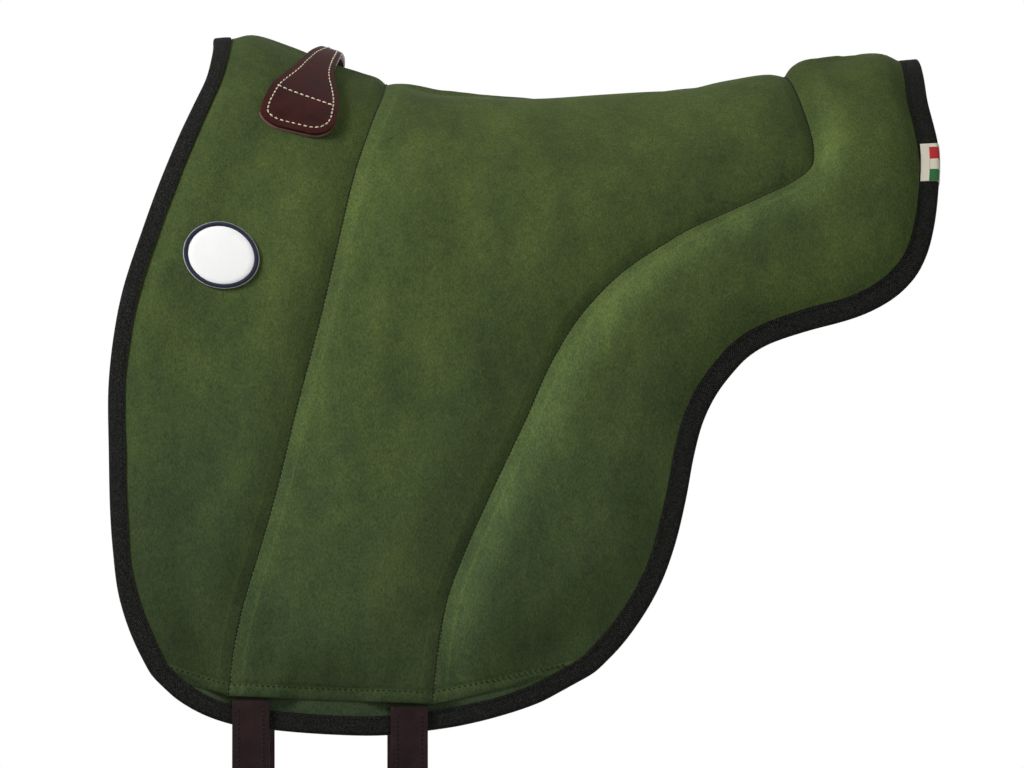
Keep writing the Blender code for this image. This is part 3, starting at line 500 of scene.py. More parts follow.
def add_rounding(piece, width, segments):
    """Round a piece's sharp edges."""
    bevel = piece.modifiers.new("rounded edges", "BEVEL")
    bevel.width, bevel.segments = width, segments
    bevel.limit_method, bevel.angle_limit = "ANGLE", math.radians(50.0)


def add_smoothing(piece):
    """Subdivide a piece once more than its grid."""
    smooth = piece.modifiers.new("smooth surface", "SUBSURF")
    smooth.levels = smooth.render_levels = 1


def thread_rows(name, points, normals, finish, length, radius, body="pad"):
    """Stitches along a line of points: one slim capsule at each, bowed down at both ends.

    Each ring of the capsule is a circle whose radius goes as sin(t) and whose place along it as
    cos(t), sunk by the fourth power of that place.
    """
    rings, sides = 7, 6
    tangents = np.gradient(points, axis=0)
    tangents /= np.linalg.norm(tangents, axis=1)[:, None]
    across = np.cross(normals, tangents)
    across /= np.linalg.norm(across, axis=1)[:, None]
    turn = np.linspace(0.12, np.pi - 0.12, rings)[:, None]
    angle = 2 * np.pi * np.arange(sides) / sides
    reach, thick = np.cos(turn), radius * np.sin(turn) ** 0.55
    sink = -1.05 * radius * reach ** 4
    parts = np.broadcast_arrays(length / 2 * reach, thick * np.cos(angle), thick * np.sin(angle) + sink)
    shape = np.stack(parts, -1).reshape(-1, 3)
    basis = np.stack([tangents, across, np.cross(tangents, across)], 1)
    vertices = points[:, None, :] + np.einsum("vk,nkj->nvj", shape, basis)
    starts = (np.arange(len(points)) * rings * sides)[:, None, None]
    caps = np.stack([np.arange(sides)[::-1], (rings - 1) * sides + np.arange(sides)])
    faces = (grid_quads(rings, sides, around=True) + starts).reshape(-1, 4).tolist()
    faces += (caps + starts).reshape(-1, sides).tolist()
    return mesh_piece(plain_mesh(name, vertices.reshape(-1, 3), faces), finish, body)


# Finishes

def is_socket(value):
    """Whether a value is a node's socket, and not a number or a colour."""
    return hasattr(value, "is_linked")


def tree_of(*values):
    """The node tree of the first socket among the values."""
    return next(value.id_data for value in values if is_socket(value))


def feed(target, value):
    """Link a socket to an input, or set the input to a number, a colour or a direction."""
    if is_socket(value):
        target.id_data.links.new(value, target)
    else:
        target.default_value = (*value, 1.0) if target.type == "RGBA" else value


def node(tree, kind, feeds=None, **settings):
    """A shader node with its properties set and its inputs fed."""
    made = tree.nodes.new(kind)
    for key, value in settings.items():
        setattr(made, key, value)
    for key, value in (feeds or {}).items():
        feed(made.inputs[key], value)
    return made


def maths(operation, *values, clamp=False):
    """A maths node fed by sockets and numbers."""
    settings = {"operation": operation, "use_clamp": clamp}
    return node(tree_of(*values), "ShaderNodeMath", dict(enumerate(values)), **settings).outputs[0]


def times(first, second):
    """One value times another."""
    return maths("MULTIPLY", first, second)


def times_plus(first, second, added):
    """One value times another, and a third added."""
    return maths("MULTIPLY_ADD", first, second, added)


def between(value, low, high):
    """1 where a value lies between two limits, else 0."""
    return times(maths("GREATER_THAN", value, low), maths("LESS_THAN", value, high))


def near_line(distance, middle, width):
    """1 at a distance, fading to 0 the width away."""
    off = maths("ABSOLUTE", maths("SUBTRACT", distance, middle))
    return maths("SUBTRACT", 1.0, maths("DIVIDE", off, width), clamp=True)


def object_place(tree):
    """The place in the piece's own coordinates."""
    return node(tree, "ShaderNodeTexCoord").outputs["Object"]


def map_axes(tree):
    """The two numbers of the UV map."""
    both = node(tree, "ShaderNodeUVMap", uv_map="UVMap").outputs["UV"]
    parts = node(tree, "ShaderNodeSeparateXYZ", {0: both})
    return parts.outputs[0], parts.outputs[1]


def stored(tree, name):
    """A number stored on the piece's vertices."""
    return node(tree, "ShaderNodeAttribute", attribute_name=name).outputs["Fac"]


def noise(place, scale, detail=3.0, roughness=0.55):
    """Noise at a place, its scale a number or a socket."""
    feeds = {"Vector": place, "Scale": scale, "Detail": detail, "Roughness": roughness}
    return node(tree_of(place), "ShaderNodeTexNoise", feeds).outputs["Fac"]


def stretched(place, scale, turn):
    """A place stretched and turned."""
    feeds = {"Vector": place, "Scale": scale, "Rotation": turn}
    return node(tree_of(place), "ShaderNodeMapping", feeds).outputs["Vector"]


def tones(factor, *stops):
    """A colour ramp: (place, linear colour) stops."""
    made = node(tree_of(factor), "ShaderNodeValToRGB", {"Fac": factor})
    ramp = made.color_ramp
    while len(ramp.elements) < len(stops):
        ramp.elements.new(0.5)
    for element, (place, tint) in zip(ramp.elements, stops):
        element.position, element.color = place, (*tint, 1.0)
    return made.outputs["Color"]


def mixed(factor, first, second, blend="MIX"):
    """Two colours mixed by a factor."""
    feeds = {0: factor, 6: first, 7: second}
    tree = tree_of(factor, first, second)
    return node(tree, "ShaderNodeMix", feeds, data_type="RGBA", blend_type=blend).outputs[2]


def grey(value):
    """A colour with one number in all three channels."""
    return node(tree_of(value), "ShaderNodeCombineColor", {0: value, 1: value, 2: value}).outputs[0]


def shaded(colour, value):
    """A colour darkened or lightened by a number."""
    return mixed(1.0, colour, grey(value), "MULTIPLY")


def group(name, numbers, outputs):
    """A node group with float inputs and outputs: its tree, the inputs' sockets and the outputs'."""
    tree = bpy.data.node_groups.new(name, "ShaderNodeTree")
    for socket, value in numbers.items():
        made = tree.interface.new_socket(socket, in_out="INPUT", socket_type="NodeSocketFloat")
        made.default_value = value
    for socket in outputs:
        tree.interface.new_socket(socket, in_out="OUTPUT", socket_type="NodeSocketFloat")
    return tree, node(tree, "NodeGroupInput").outputs, node(tree, "NodeGroupOutput").inputs


def placed(tree, source, **numbers):
    """A node group's outputs, its inputs set."""
    return node(tree, "ShaderNodeGroup", numbers, node_tree=source).outputs


def make_nap_group():
    """Brushed nap: broad clouds, strokes of a hand, small clumps and fine fibres."""
    sizes = {"Clouds": 6.0, "Strokes": 30.0, "Clumps": 190.0, "Fibre": 950.0}
    tree, given, out = group("brushed_nap", sizes, ("Tone", "Fibres", "Height"))
    place = object_place(tree)
    clouds = noise(place, given["Clouds"], 2.0, 0.5)
    strokes = noise(stretched(place, (1.0, 0.6, 0.55), (0.0, 0.5, 0.0)), given["Strokes"], 4.0, 0.65)
    clumps = noise(stretched(place, (1.0, 0.7, 0.7), (0.0, 0.4, 0.0)), given["Clumps"], 4.0, 0.75)
    fibres = noise(stretched(place, (1.0, 0.5, 0.5), (0.0, 0.35, 0.0)), given["Fibre"], 2.0, 0.75)
    feed(out["Tone"], times_plus(clumps, 0.24, times_plus(clouds, 0.30, times(strokes, 0.46))))
    feed(out["Fibres"], fibres)
    feed(out["Height"], times_plus(fibres, 0.6, times(clumps, 0.6)))
    return tree


def make_grain_group():
    """Leather grain: small cells with creases between, over a slow mottle."""
    tree, given, out = group("leather_grain", {"Cells": 1100.0, "Mottle": 60.0}, ("Grain", "Mottle"))
    place = object_place(tree)
    feeds = {"Vector": place, "Scale": given["Cells"]}
    cells = node(tree, "ShaderNodeTexVoronoi", feeds, feature="DISTANCE_TO_EDGE").outputs["Distance"]
    creases = maths("MULTIPLY", cells, 3.0, clamp=True)
    feed(out["Grain"], times_plus(creases, 0.7, times(noise(place, 2600.0, 2.0), 0.3)))
    feed(out["Mottle"], noise(place, given["Mottle"], 4.0, 0.6))
    return tree


def make_weave_group():
    """Plain weave on a UV map in metres: two crossed waves, each hidden where the other is up."""
    tree, given, out = group("plain_weave", {"Threads": 1400.0}, ("Weave", "Fuzz"))
    turns = times(given["Threads"], math.pi)
    warp, weft = (maths("SINE", times(part, turns)) for part in map_axes(tree))
    feed(out["Weave"], times_plus(times(warp, weft), 0.5, 0.5))
    feed(out["Fuzz"], noise(object_place(tree), 1800.0, 2.0, 0.7))
    return tree


NAP, GRAIN, WEAVE = make_nap_group(), make_grain_group(), make_weave_group()


def start_material(name, roughness, sheen=0.0, sheen_tint=(1.0, 1.0, 1.0), specular=0.12):
    """A material with its Principled shader's constants set, and its tree."""
    made = bpy.data.materials.new(name)
    made.use_nodes = True
    shader = made.node_tree.nodes["Principled BSDF"]
    numbers = {"Roughness": roughness, "Specular IOR Level": specular, "Sheen Weight": sheen,
               "Sheen Roughness": 0.5, "Sheen Tint": sheen_tint}
    for key, value in numbers.items():
        feed(shader.inputs[key], value)
    return made, made.node_tree


def finished(made, colour, height, depth, strength, **more):
    """The material with its colour and more inputs fed, and its normal bumped by a height."""
    shader = made.node_tree.nodes["Principled BSDF"]
    feeds = {"Height": height, "Distance": depth, "Strength": strength}
    normal = node(made.node_tree, "ShaderNodeBump", feeds).outputs["Normal"]
    for key, value in {"Base Color": colour, "Normal": normal, **more}.items():
        feed(shader.inputs[key], value)
    return made


def suede(name, dark, middle, light):
    """Suede: brushed nap, paler where it puckers at the stitches and where the seam allowance ends, as painted
    highlights on these ridges; darker and bluer towards the hem as painted shade; and lightened or darkened by
    the painted light and shade stored on the panels.
    """
    made, tree = start_material(name, 0.95, 0.03, (0.62, 0.72, 0.40), 0.10)
    nap = placed(tree, NAP)
    seam, hem, rubbed = (stored(tree, key) for key in ("seam_distance", "hem_distance", "rubbed_nap"))
    unshaded_nap = tones(nap["Tone"], (0.35, dark), (0.50, middle), (0.65, light))
    # Painted shade: the suede darker and bluer towards the hem, where less light falls
    height = maths("DIVIDE", hem, 0.34, clamp=True)
    wear_and_painted_shade = tones(height, (0.0, (0.64, 0.67, 0.86)), (0.45, (0.82, 0.85, 1.00)), (0.95, (1.0, 1.0, 0.98)))
    base = mixed(1.0, unshaded_nap, wear_and_painted_shade, "MULTIPLY")
    # Painted highlight: paler on the raised puckers along the stitch lines and on the allowance ridge
    allowance = times(near_line(seam, ALLOWANCE, 0.0018), 0.25)
    sewn = maths("MAXIMUM", near_line(hem, HEM_INSET, 0.0018), near_line(seam, 0.0, 0.0018))
    paler = mixed(maths("MAXIMUM", allowance, times(sewn, 0.45)), base, light)
    # The stored painted light and shade, then the fibres
    brushed = shaded(shaded(paler, times_plus(rubbed, 0.40, 1.0)), times_plus(nap["Fibres"], 1.70, 0.15))
    return finished(made, brushed, nap["Height"], 0.0004, 0.6)


def leather(name, dark, light, roughness):
    """Oiled leather: a slow mottle under fine grain, its gloss broken by the mottle."""
    made, tree = start_material(name, roughness, specular=0.05)
    grain = placed(tree, GRAIN)
    base = tones(grain["Mottle"], (0.30, dark), (0.72, light))
    gloss = times_plus(grain["Mottle"], 0.25, roughness - 0.12)
    creased = shaded(base, times_plus(grain["Grain"], 0.35, 0.74))
    return finished(made, creased, grain["Grain"], 0.00005, 0.7, Roughness=gloss)


def cloth(name, dark, light, threads, depth=0.0004, roughness=0.85):
    """Woven cloth or tape on its UV map: thread tops lighter than the gaps, with a little fuzz."""
    made, tree = start_material(name, roughness, 0.10)
    weave = placed(tree, WEAVE, Threads=threads)
    worn = times_plus(weave["Fuzz"], 0.55, times(weave["Weave"], 0.55))
    return finished(made, tones(worn, (0.25, dark), (0.80, light)), weave["Weave"], depth, 0.8)


def felt(name, dark, light):
    """Pressed felt: short curled fibres with no direction."""
    made, tree = start_material(name, 0.95, 0.25)
    place = object_place(tree)
    coarse, fine = noise(place, 160.0, 5.0, 0.7), noise(place, 1500.0, 2.0)
    base = tones(coarse, (0.30, dark), (0.70, light))
    return finished(made, base, times_plus(coarse, 0.6, fine), 0.0008, 0.8)


def thread(name, dark, light, roughness=0.6):
    """Twisted thread: fine slanted plies."""
    made, tree = start_material(name, roughness, 0.1)
    plies = noise(stretched(object_place(tree), (1.0, 0.6, 1.6), (0.3, 0.6, 0.2)), 2400.0, 1.0)
    return finished(made, tones(plies, (0.35, dark), (0.65, light)), plies, 0.0002, 0.7)


def satin_border(name, dark, light):
    """Satin stitching round a patch: threads side by side across the border, on its UV map."""
    made, tree = start_material(name, 0.5, 0.15)
    wave = maths("SINE", times(map_axes(tree)[0], 2 * math.pi / 0.0007))
    ply = times_plus(wave, 0.32, times(noise(object_place(tree), 900.0, 2.0), 0.9))
    return finished(made, tones(ply, (0.20, dark), (0.80, light)), ply, 0.0003, 0.8)


def tag_weave(name):
    """Close woven label: cream satin with three small plain blocks near the fold."""
    made, tree = start_material(name, 0.7, 0.1)
    weave = placed(tree, WEAVE, Threads=2600.0)
    run, girth = map_axes(tree)
    within = times(between(girth, 0.0066, 0.0150), between(run, 0.0034, 0.0346))
    first, last = maths("LESS_THAN", run, 0.0142), maths("GREATER_THAN", run, 0.0238)
    line = times(within, maths("LESS_THAN", girth, 0.0070))
    base = tones(weave["Fuzz"], (0.3, (0.76, 0.70, 0.54)), (0.7, (0.94, 0.90, 0.76)))
    lined = mixed(times(line, 0.6), base, (0.26, 0.13, 0.11))
    warm = mixed(times(within, first), lined, (0.56, 0.032, 0.034))
    blocks = mixed(times(within, last), warm, (0.030, 0.165, 0.048))
    return finished(made, shaded(blocks, times_plus(weave["Weave"], 0.30, 0.78)), weave["Weave"], 0.0002, 0.7)


def binding_tape(name):
    """Woven black tape with worn specks, and a row of lockstitches near its inner edge."""
    made, tree = start_material(name, 0.92, specular=0.04)
    weave = placed(tree, WEAVE, Threads=1150.0)
    run, girth = map_axes(tree)
    dash = maths("GREATER_THAN", maths("FRACT", maths("DIVIDE", run, 0.0036)), 0.28)
    stitch = times(dash, maths("LESS_THAN", maths("ABSOLUTE", maths("SUBTRACT", girth, 0.0022)), 0.0004))
    worn = times_plus(noise(object_place(tree), 700.0, 4.0, 0.8), 0.9, times(weave["Weave"], 0.30))
    wear_and_painted_shade = times_plus(weave["Fuzz"], 0.30, maths("SUBTRACT", worn, 0.15))
    dark, middle, light = (0.0030, 0.0030, 0.0029), (0.0092, 0.0092, 0.0085), (0.042, 0.042, 0.038)
    base = tones(wear_and_painted_shade, (0.32, dark), (0.60, middle), (0.80, light))
    sewn = mixed(times(stitch, 0.5), base, (0.004, 0.004, 0.004))
    return finished(made, sewn, times_plus(stitch, 0.8, weave["Weave"]), 0.0002, 0.8)


GREEN_SUEDE = suede("green suede", (0.038, 0.058, 0.021), (0.061, 0.088, 0.0265), (0.087, 0.120, 0.032))
# A darker, bluer copy of the green suede for the skirt strip under the hem's lip: painted shade
SHADED_SUEDE = suede("green suede with painted shade", (0.040, 0.058, 0.024), (0.056, 0.080, 0.030), (0.073, 0.103, 0.038))
BROWN_LEATHER = leather("brown leather", (0.027, 0.0070, 0.0066), (0.057, 0.0160, 0.0130), 0.58)
BILLET_LEATHER = leather("dark strap leather", (0.0170, 0.0088, 0.0096), (0.0340, 0.0180, 0.0192), 0.55)
CUT_LEATHER = leather("cut leather edge", (0.150, 0.078, 0.068), (0.240, 0.135, 0.118), 0.75)
BACK_SIDE = leather("rough strap back", (0.018, 0.010, 0.010), (0.034, 0.019, 0.018), 0.80)
GREY_FELT = felt("grey felt", (0.050, 0.048, 0.045), (0.105, 0.101, 0.093))
WEBBING = cloth("black webbing", (0.012, 0.012, 0.012), (0.040, 0.040, 0.038), 900.0)
BLACK_TAPE = binding_tape("black binding tape")
PATCH_CLOTH = cloth("white patch cloth", (0.74, 0.74, 0.73), (0.93, 0.93, 0.92), 2600.0, 0.0001, 0.6)
NAVY_THREAD = satin_border("navy satin thread", (0.005, 0.006, 0.016), (0.018, 0.021, 0.048))
SILVER_THREAD = thread("silver grey thread", (0.22, 0.23, 0.24), (0.50, 0.51, 0.52), 0.4)
CREAM_THREAD = thread("cream thread", (0.42, 0.34, 0.22), (0.80, 0.72, 0.56))
GREEN_THREAD = thread("green thread", (0.006, 0.010, 0.005), (0.019, 0.028, 0.014))
BROWN_THREAD = thread("dark brown thread", (0.001, 0.0008, 0.0008), (0.004, 0.003, 0.003))
LABEL = tag_weave("woven label")


# Cushions

SWELL_STEPS = 20
SUEDE_CLOTH = {
    "quality": 6, "mass": 0.30, "tension_stiffness": 25.0, "compression_stiffness": 12.0,
    "shear_stiffness": 8.0, "bending_stiffness": 0.6, "shrink_min": -0.012, "use_pressure": True,
    "uniform_pressure_force": 4.0, "vertex_group_mass": "held",
}


def swell(name, points, normals, held):
    """How far a panel's suede swells along its normals when blown up a little between its seams.

    A copy of the panel's grid becomes cloth, cut a little larger than its frame and held at its
    seams and rims. Twenty steps of light pressure round it and pull its wrinkles.
    """
    quads = grid_quads(*points.shape[:2])[:, ::-1]
    blown = put(name, plain_mesh(name, points.reshape(-1, 3), quads))
    blown.vertex_groups.new(name="held").add(np.flatnonzero(held).tolist(), 1.0, "REPLACE")
    skin = blown.modifiers.new("swelling", "CLOTH")
    for key, value in SUEDE_CLOTH.items():
        setattr(skin.settings, key, value)
    skin.settings.effector_weights.gravity = 0.0
    skin.collision_settings.use_collision = False
    skin.point_cache.frame_start, skin.point_cache.frame_end = 1, SWELL_STEPS
    for step in range(1, SWELL_STEPS + 1):
        bpy.context.scene.frame_set(step)
    settled = blown.evaluated_get(bpy.context.evaluated_depsgraph_get())
    moved = np.zeros(points.size)
    settled.data.vertices.foreach_get("co", moved)
    mesh = blown.data
    bpy.data.objects.remove(blown)
    bpy.data.meshes.remove(mesh)
    bpy.context.scene.frame_set(1)
    offset = ((moved.reshape(points.shape) - points) * normals).sum(-1)
    return np.clip(np.nan_to_num(offset), -0.0003, SWELL_LIMIT)


def panel_grid(name, rows, shares):
    """Places and lifts of one panel's near and off sides, at the rows and column shares given."""
    left, right = (outline_rows(line, rows) for line in PANELS[name][:2])
    places = left[:, None] + (right - left)[:, None] * shares[..., None]
    near, off = (cushion_lift(name, places, shares, side) for side in (-1.0, 1.0))
    doubled = [np.concatenate([first[::-1], second[1:]], 0) for first, second in zip(near, off)]
    return both_sides(places[..., 0]), near_to_off(places[..., 1]), doubled


def swelling(name):
    """The swell of a panel as a grid: rows from hem to hem, columns evenly shared."""
    rows = np.linspace(0.0, LIP_ROW, 65)
    columns = {"front": 21, "seat": 45, "rear": 29}[name]
    shares = np.repeat(np.linspace(0.0, 1.0, columns)[None, :], len(rows), 0)
    x, s, (lift, seam, rim, hem) = panel_grid(name, rows, shares)
    point, normal = arch_frame(x, s)
    held = (seam < 0.004) | (rim < RIM_WIDTH + 0.002) | (hem < 0.010)
    return swell(f"{name} swelling", point + normal * lift[..., None], normal, held)


def sampled(field, rows, shares):
    """Values of a grid field at fine rows, hem to hem, and column shares, by straight blending."""
    last_row, last_column = field.shape[0] - 1, field.shape[1] - 1
    at_row, at_column = rows[:, None] * last_row, shares * last_column
    row = np.clip(at_row.astype(int), 0, last_row - 1)
    column = np.clip(at_column.astype(int), 0, last_column - 1)
    down, over = at_row - row, at_column - column
    first, second = (field[at, column] * (1 - over) + field[at, column + 1] * over for at in (row, row + 1))
    return first * (1 - down) + second * down


def make_cushion(name, middle):
    """One panel's suede and foam as a closed crowned form; by the hem it thins to a flap."""
    rows = np.concatenate([np.arange(0.0, LIP_ROW - 0.9, 0.25), LIP_ROW - HEM_STEPS[::-1] / ROW_STEP])
    left, right = (outline_rows(line, rows) for line in PANELS[name][:2])
    shares = beside_shares(np.linalg.norm(right - left, axis=1), middle)
    x, s, (lift, seam, rim, hem) = panel_grid(name, rows, shares)
    lift = lift + sampled(swelling(name), (near_to_off(rows) / LIP_ROW + 1) / 2, both_sides(shares))
    lift = lift - 0.0008 * (1 - ease(hem / 0.0016)) * ease((rim - RIM_WIDTH) / 0.004)
    flap = ease((hem - 0.044) / 0.006)
    under = np.minimum(lift - 0.0012, (lift - 0.0016) * (1 - flap) + 0.0056 * flap)
    piece = closed_sheet(f"{name}_panel", x, s, under, lift, GREEN_SUEDE)
    # Painted light and shade, stored on the panel for its suede: highlights above 0, shade below 0
    rubbed = rubbed_nap(name, np.stack([x, np.abs(s)], -1))
    sheet_values(piece, seam_distance=seam, hem_distance=hem, rubbed_nap=rubbed)
    add_smoothing(piece)
    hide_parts(f"{name}_cover", f"{name}_foam")


for panel, middle in (("front", 12), ("seat", 34), ("rear", 20)):
    make_cushion(panel, middle)


# Lining, skirts and webs

def joined_rows(rows, shares):
    """Places of whole rows across all three panels, with even shares of each."""
    lines = [outline_rows(name, rows) for name in OUTLINES]
    parts = [first[:, None] + (second - first)[:, None] * shares[:, None]
             for first, second in zip(lines, lines[1:])]
    return np.concatenate([parts[0], parts[1][:, 1:], parts[2][:, 1:]], 1)


def lip_to_bottom(lip, share):
    """Rows of places from the lip to the bottom edge under it."""
    foot = bottom_at((lip[:, 0] - lip[0, 0]) / (lip[-1, 0] - lip[0, 0]))
    return lip + (foot - lip) * share[:, None, None]


def cut_size(x, s, lift):
    """A sheet's width and length on the pattern, and its area as the sum of its quads."""
    points = on_arch(x, s, lift)
    square = np.cross(points[1:, 1:] - points[:-1, :-1], points[1:, :-1] - points[:-1, 1:])
    return (float(np.ptp(x)), float(np.ptp(s))), float(np.linalg.norm(square, axis=-1).sum() / 2)


def make_lining():
    """The felt under all three panels, down to the bottom edge, a little uneven where it was pressed."""
    places = joined_rows(np.linspace(0.0, LIP_ROW, 55), np.linspace(0.0, 1.0, 19))
    places = np.concatenate([places, lip_to_bottom(places[-1], np.linspace(0.0, 1.0, 5)[1:])])
    x, s = both_sides(places[..., 0]), near_to_off(places[..., 1])
    lumps = 0.0003 * soft_lumps(x, s, 8, 0.05)
    piece = closed_sheet("lining_felt", x, s, np.maximum(lumps, 0.0), np.full_like(x, LINING), GREY_FELT)
    add_smoothing(piece)
    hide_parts("lining")
    flat, area = cut_size(x, s, np.full_like(x, LINING / 2))


def make_skirt(side, sign):
    """The suede strip from behind the hem's lip to the bottom edge, fuller off the rims by a smooth step."""
    lip = path_places(lip_places(0.004), 0.005)
    share = np.linspace(0.0, 1.0, 5)
    upper = lip - np.array([0.0, SKIRT_TUCK])
    places = np.concatenate([upper + (lip - upper) * share[:-1, None, None], lip_to_bottom(lip, share)])
    x, s = places[..., 0], places[..., 1]
    firm = ease((flank_distance(places) - RIM_WIDTH) / 0.03)
    top = FLOOR + COVER + 0.0018 * firm + 0.0002 * soft_lumps(x, s, 5, 0.06)
    # The strip takes the shaded copy of the suede, and its hem_distance of 0.05 gives it the painted shade of
    # the suede low on the side
    piece = closed_sheet(f"{side}_skirt", x, sign * s, np.full_like(x, FLOOR), top, SHADED_SUEDE)
    sheet_values(piece, seam_distance=0.05, hem_distance=0.05, rubbed_nap=0.0)
    add_smoothing(piece)
    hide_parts(f"{side}_skirt_strip")
    flat, area = cut_size(x, sign * s, top)


def make_web(place):
    """A girth web: a band over the spine from pocket to pocket, out of its groove by a straight ramp."""
    billet_x, spine_x = BILLET_X[place], WEB_SPINE_X[place]
    lip = np.interp(billet_x, LIP[:, 0], LIP[:, 1])
    top = lip - SKIRT_TUCK - JOINT_GAP
    s = np.linspace(-(lip - 0.003), lip - 0.003, 181)[:, None]
    climb = np.clip((np.abs(s) - (top - WEB_CLIMB)) / WEB_CLIMB, 0.0, 1.0)
    across = np.linspace(-WEB_HALF_WIDTH, WEB_HALF_WIDTH, 7)
    x, s, low = np.broadcast_arrays(
        spine_x + (billet_x - spine_x) * np.abs(s) / lip + across, s,
        WEB_FLOOR + (SKIRT_TOP + JOINT_GAP - WEB_FLOOR) * climb)
    piece = closed_sheet(f"{place}_web", x, s, low, low + WEB_THICKNESS, WEBBING, sharp=40)
    corner_map(piece, np.concatenate([s, s]), across)
    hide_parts(f"{place}_girth_web")


make_lining()
make_skirt("near", -1.0)
make_skirt("off", 1.0)
make_web("front")
make_web("rear")


# Binding and tag

def rounded_path(path, reach, step):
    """A closed path taken at even steps and averaged over the reach, which rounds its corners."""
    even = path_places(np.concatenate([path, path[:1]]), step)[:-1]
    count = len(even)
    offset = (np.arange(count) + count // 2) % count - count // 2
    weight = bell(offset * step, 0.0, reach)
    spectrum = np.fft.rfft(weight / weight.sum())
    return np.stack([np.fft.irfft(np.fft.rfft(values) * spectrum, count) for values in even.T], 1)


def pad_outline(step):
    """The bound outline as a closed path of places: front, bottom and rear of each side in turn."""
    rows = np.linspace(0.0, LIP_ROW, 181)
    front, rear = outline_rows("front_edge", rows), outline_rows("rear_edge", rows)
    off = np.concatenate([front, BOTTOM[1:-1], rear[::-1]])
    near = off[::-1][1:-1] * np.array([1.0, -1.0])
    return rounded_path(np.concatenate([off, near]), 0.006, step)


def inward_of(path):
    """Unit direction into a closed path, square to it, on the side that its signed area tells."""
    along = np.roll(path, -1, 0) - np.roll(path, 1, 0)
    along /= np.linalg.norm(along, axis=1)[:, None]
    x, s = path.T
    turn = np.sign(np.sum(x * np.roll(s, -1) - s * np.roll(x, -1)))
    return turn * np.stack([-along[:, 1], along[:, 0]], 1)


def fold_section(leg, low, high, thickness, nose, edge_roll=0.0):
    """Section of a folded tape as (distance in, lift), one row per place along it.

    Two legs meet in a half-ellipse nose; the same line, drawn in by the thickness, comes back.
    """
    middle, half = (low + high) / 2, (high - low) / 2
    turn = np.linspace(np.pi / 2, -np.pi / 2, 9)
    shares = np.array([1.0, 0.92, 0.70, 0.45, 0.20])
    rolls = np.array([-edge_roll, 0.0, 0.0, 0.0, 0.0])
    sides = []
    for offset, leg_end in ((thickness, 1.0), (0.0, 0.985)):
        legs = shares[None, :] * leg[:, None] * leg_end
        tall = half + offset
        nose_in = np.repeat((-(nose + offset) * np.cos(turn))[None], len(leg), 0)
        nose_lift = middle[:, None] + tall[:, None] * np.sin(turn)[None]
        upper, lower = (middle + tall)[:, None] + rolls, (middle - tall)[:, None] - rolls[::-1]
        reach = np.concatenate([legs, nose_in, legs[:, ::-1]], 1)
        sides.append((reach, np.concatenate([upper, nose_lift, lower], 1)))
    return [np.concatenate([outer, inner[:, ::-1]], 1) for outer, inner in zip(*sides)]


def swept_tape(name, path, inward, section, closed, finish):
    """Carry a section along a path on the arch, with a UV map of run and girth in metres."""
    section_in, section_lift = section
    places = path[:, None] + inward[:, None] * section_in[..., None]
    points = on_arch(places[..., 0], places[..., 1], section_lift)
    rows, columns = section_in.shape
    faces = grid_quads(rows, columns, around=True, along=closed).tolist()
    if not closed:
        faces += [list(range(columns)), list(range(rows * columns - 1, (rows - 1) * columns - 1, -1))]
    piece = mesh_piece(plain_mesh(name, points.reshape(-1, 3), faces), finish, sharp=50)
    face_outward(piece)
    girth = run_along(np.stack([section_in[0], section_lift[0]], 1))
    corner_map(piece, run_along(points[:, 7])[:, None], girth)
    return piece


def leg_width(path):
    """Visible width of the binding's leg, by smooth steps: narrowest up the front, full at the rear."""
    x, down = path[:, 0], np.abs(path[:, 1])
    front = ease((-0.16 - x) / 0.10) * ease((0.49 - down) / 0.06)
    foot = ease((down - 0.50) / 0.03)
    return TAPE_LEG - 0.0026 * front - 0.0012 * foot


def make_binding():
    """The tape folded round the whole outline, its inner edges a little wavy."""
    path = pad_outline(0.004)
    leg = leg_width(path) + 0.0004 * soft_lumps(*path.T, 11, 0.05)
    high = RIM_TOP + 0.0004 + 0.0003 * soft_lumps(*path.T, 12, 0.03)
    section = fold_section(leg, np.full(len(path), -0.0002), high, 0.0012, 0.0011, 0.0001)
    piece = swept_tape("binding", path, inward_of(path), section, True, BLACK_TAPE)
    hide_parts("edge_binding")


def make_tag():
    """The woven label folded round the binding at the near side's rear edge."""
    edge = outline_rows("rear_edge", np.linspace(0.0, LIP_ROW, 361))
    s = np.linspace(TAG_TOP, TAG_TOP + TAG_LENGTH / spread(HALF_SPINE, TAG_TOP), 22)
    path = np.stack([np.interp(s, edge[:, 1], edge[:, 0]), -s], 1)
    count = len(path)
    high = RIM_TOP + 0.0021 + 0.0003 * np.cos(np.linspace(0, 2 * np.pi, count))
    section = fold_section(np.full(count, 0.0122), np.full(count, -0.0017), high, 0.0006, 0.0022)
    piece = swept_tape("label", path, np.tile([-1.0, 0.0], (count, 1)), section, False, LABEL)
    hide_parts("woven_tag")


make_binding()
make_tag()


# Seam and hem stitches

def stitch_line(name, x, s, lift, stitch, finish):
    """Stitches of one kind at an even pitch along a line of places at the given lifts."""
    pitch, length, radius = stitch
    run = run_along(on_arch(x, s, lift))
    at = np.arange(pitch / 2, run[-1], pitch)
    x, s, lift = (np.interp(at, run, values) for values in (x, s, lift))
    piece = thread_rows(name, on_arch(x, s, lift), arch_frame(x, s)[1], finish, length, radius)


def seam_stitches(line):
    """Stitches in a seam, from hem to hem over the spine."""
    half = outline_rows(line, np.linspace(0.0, LIP_ROW - 0.04, 500))
    x, s = both_sides(half[:, 0]), near_to_off(half[:, 1])
    lift = cushion_lift("seat", np.stack([x, np.abs(s)], 1), 0.0, 1.0)[0] + STITCH_LIFT
    stitch_line(f"{line}_stitches", x, s, lift, SEAM_STITCH, GREEN_THREAD)


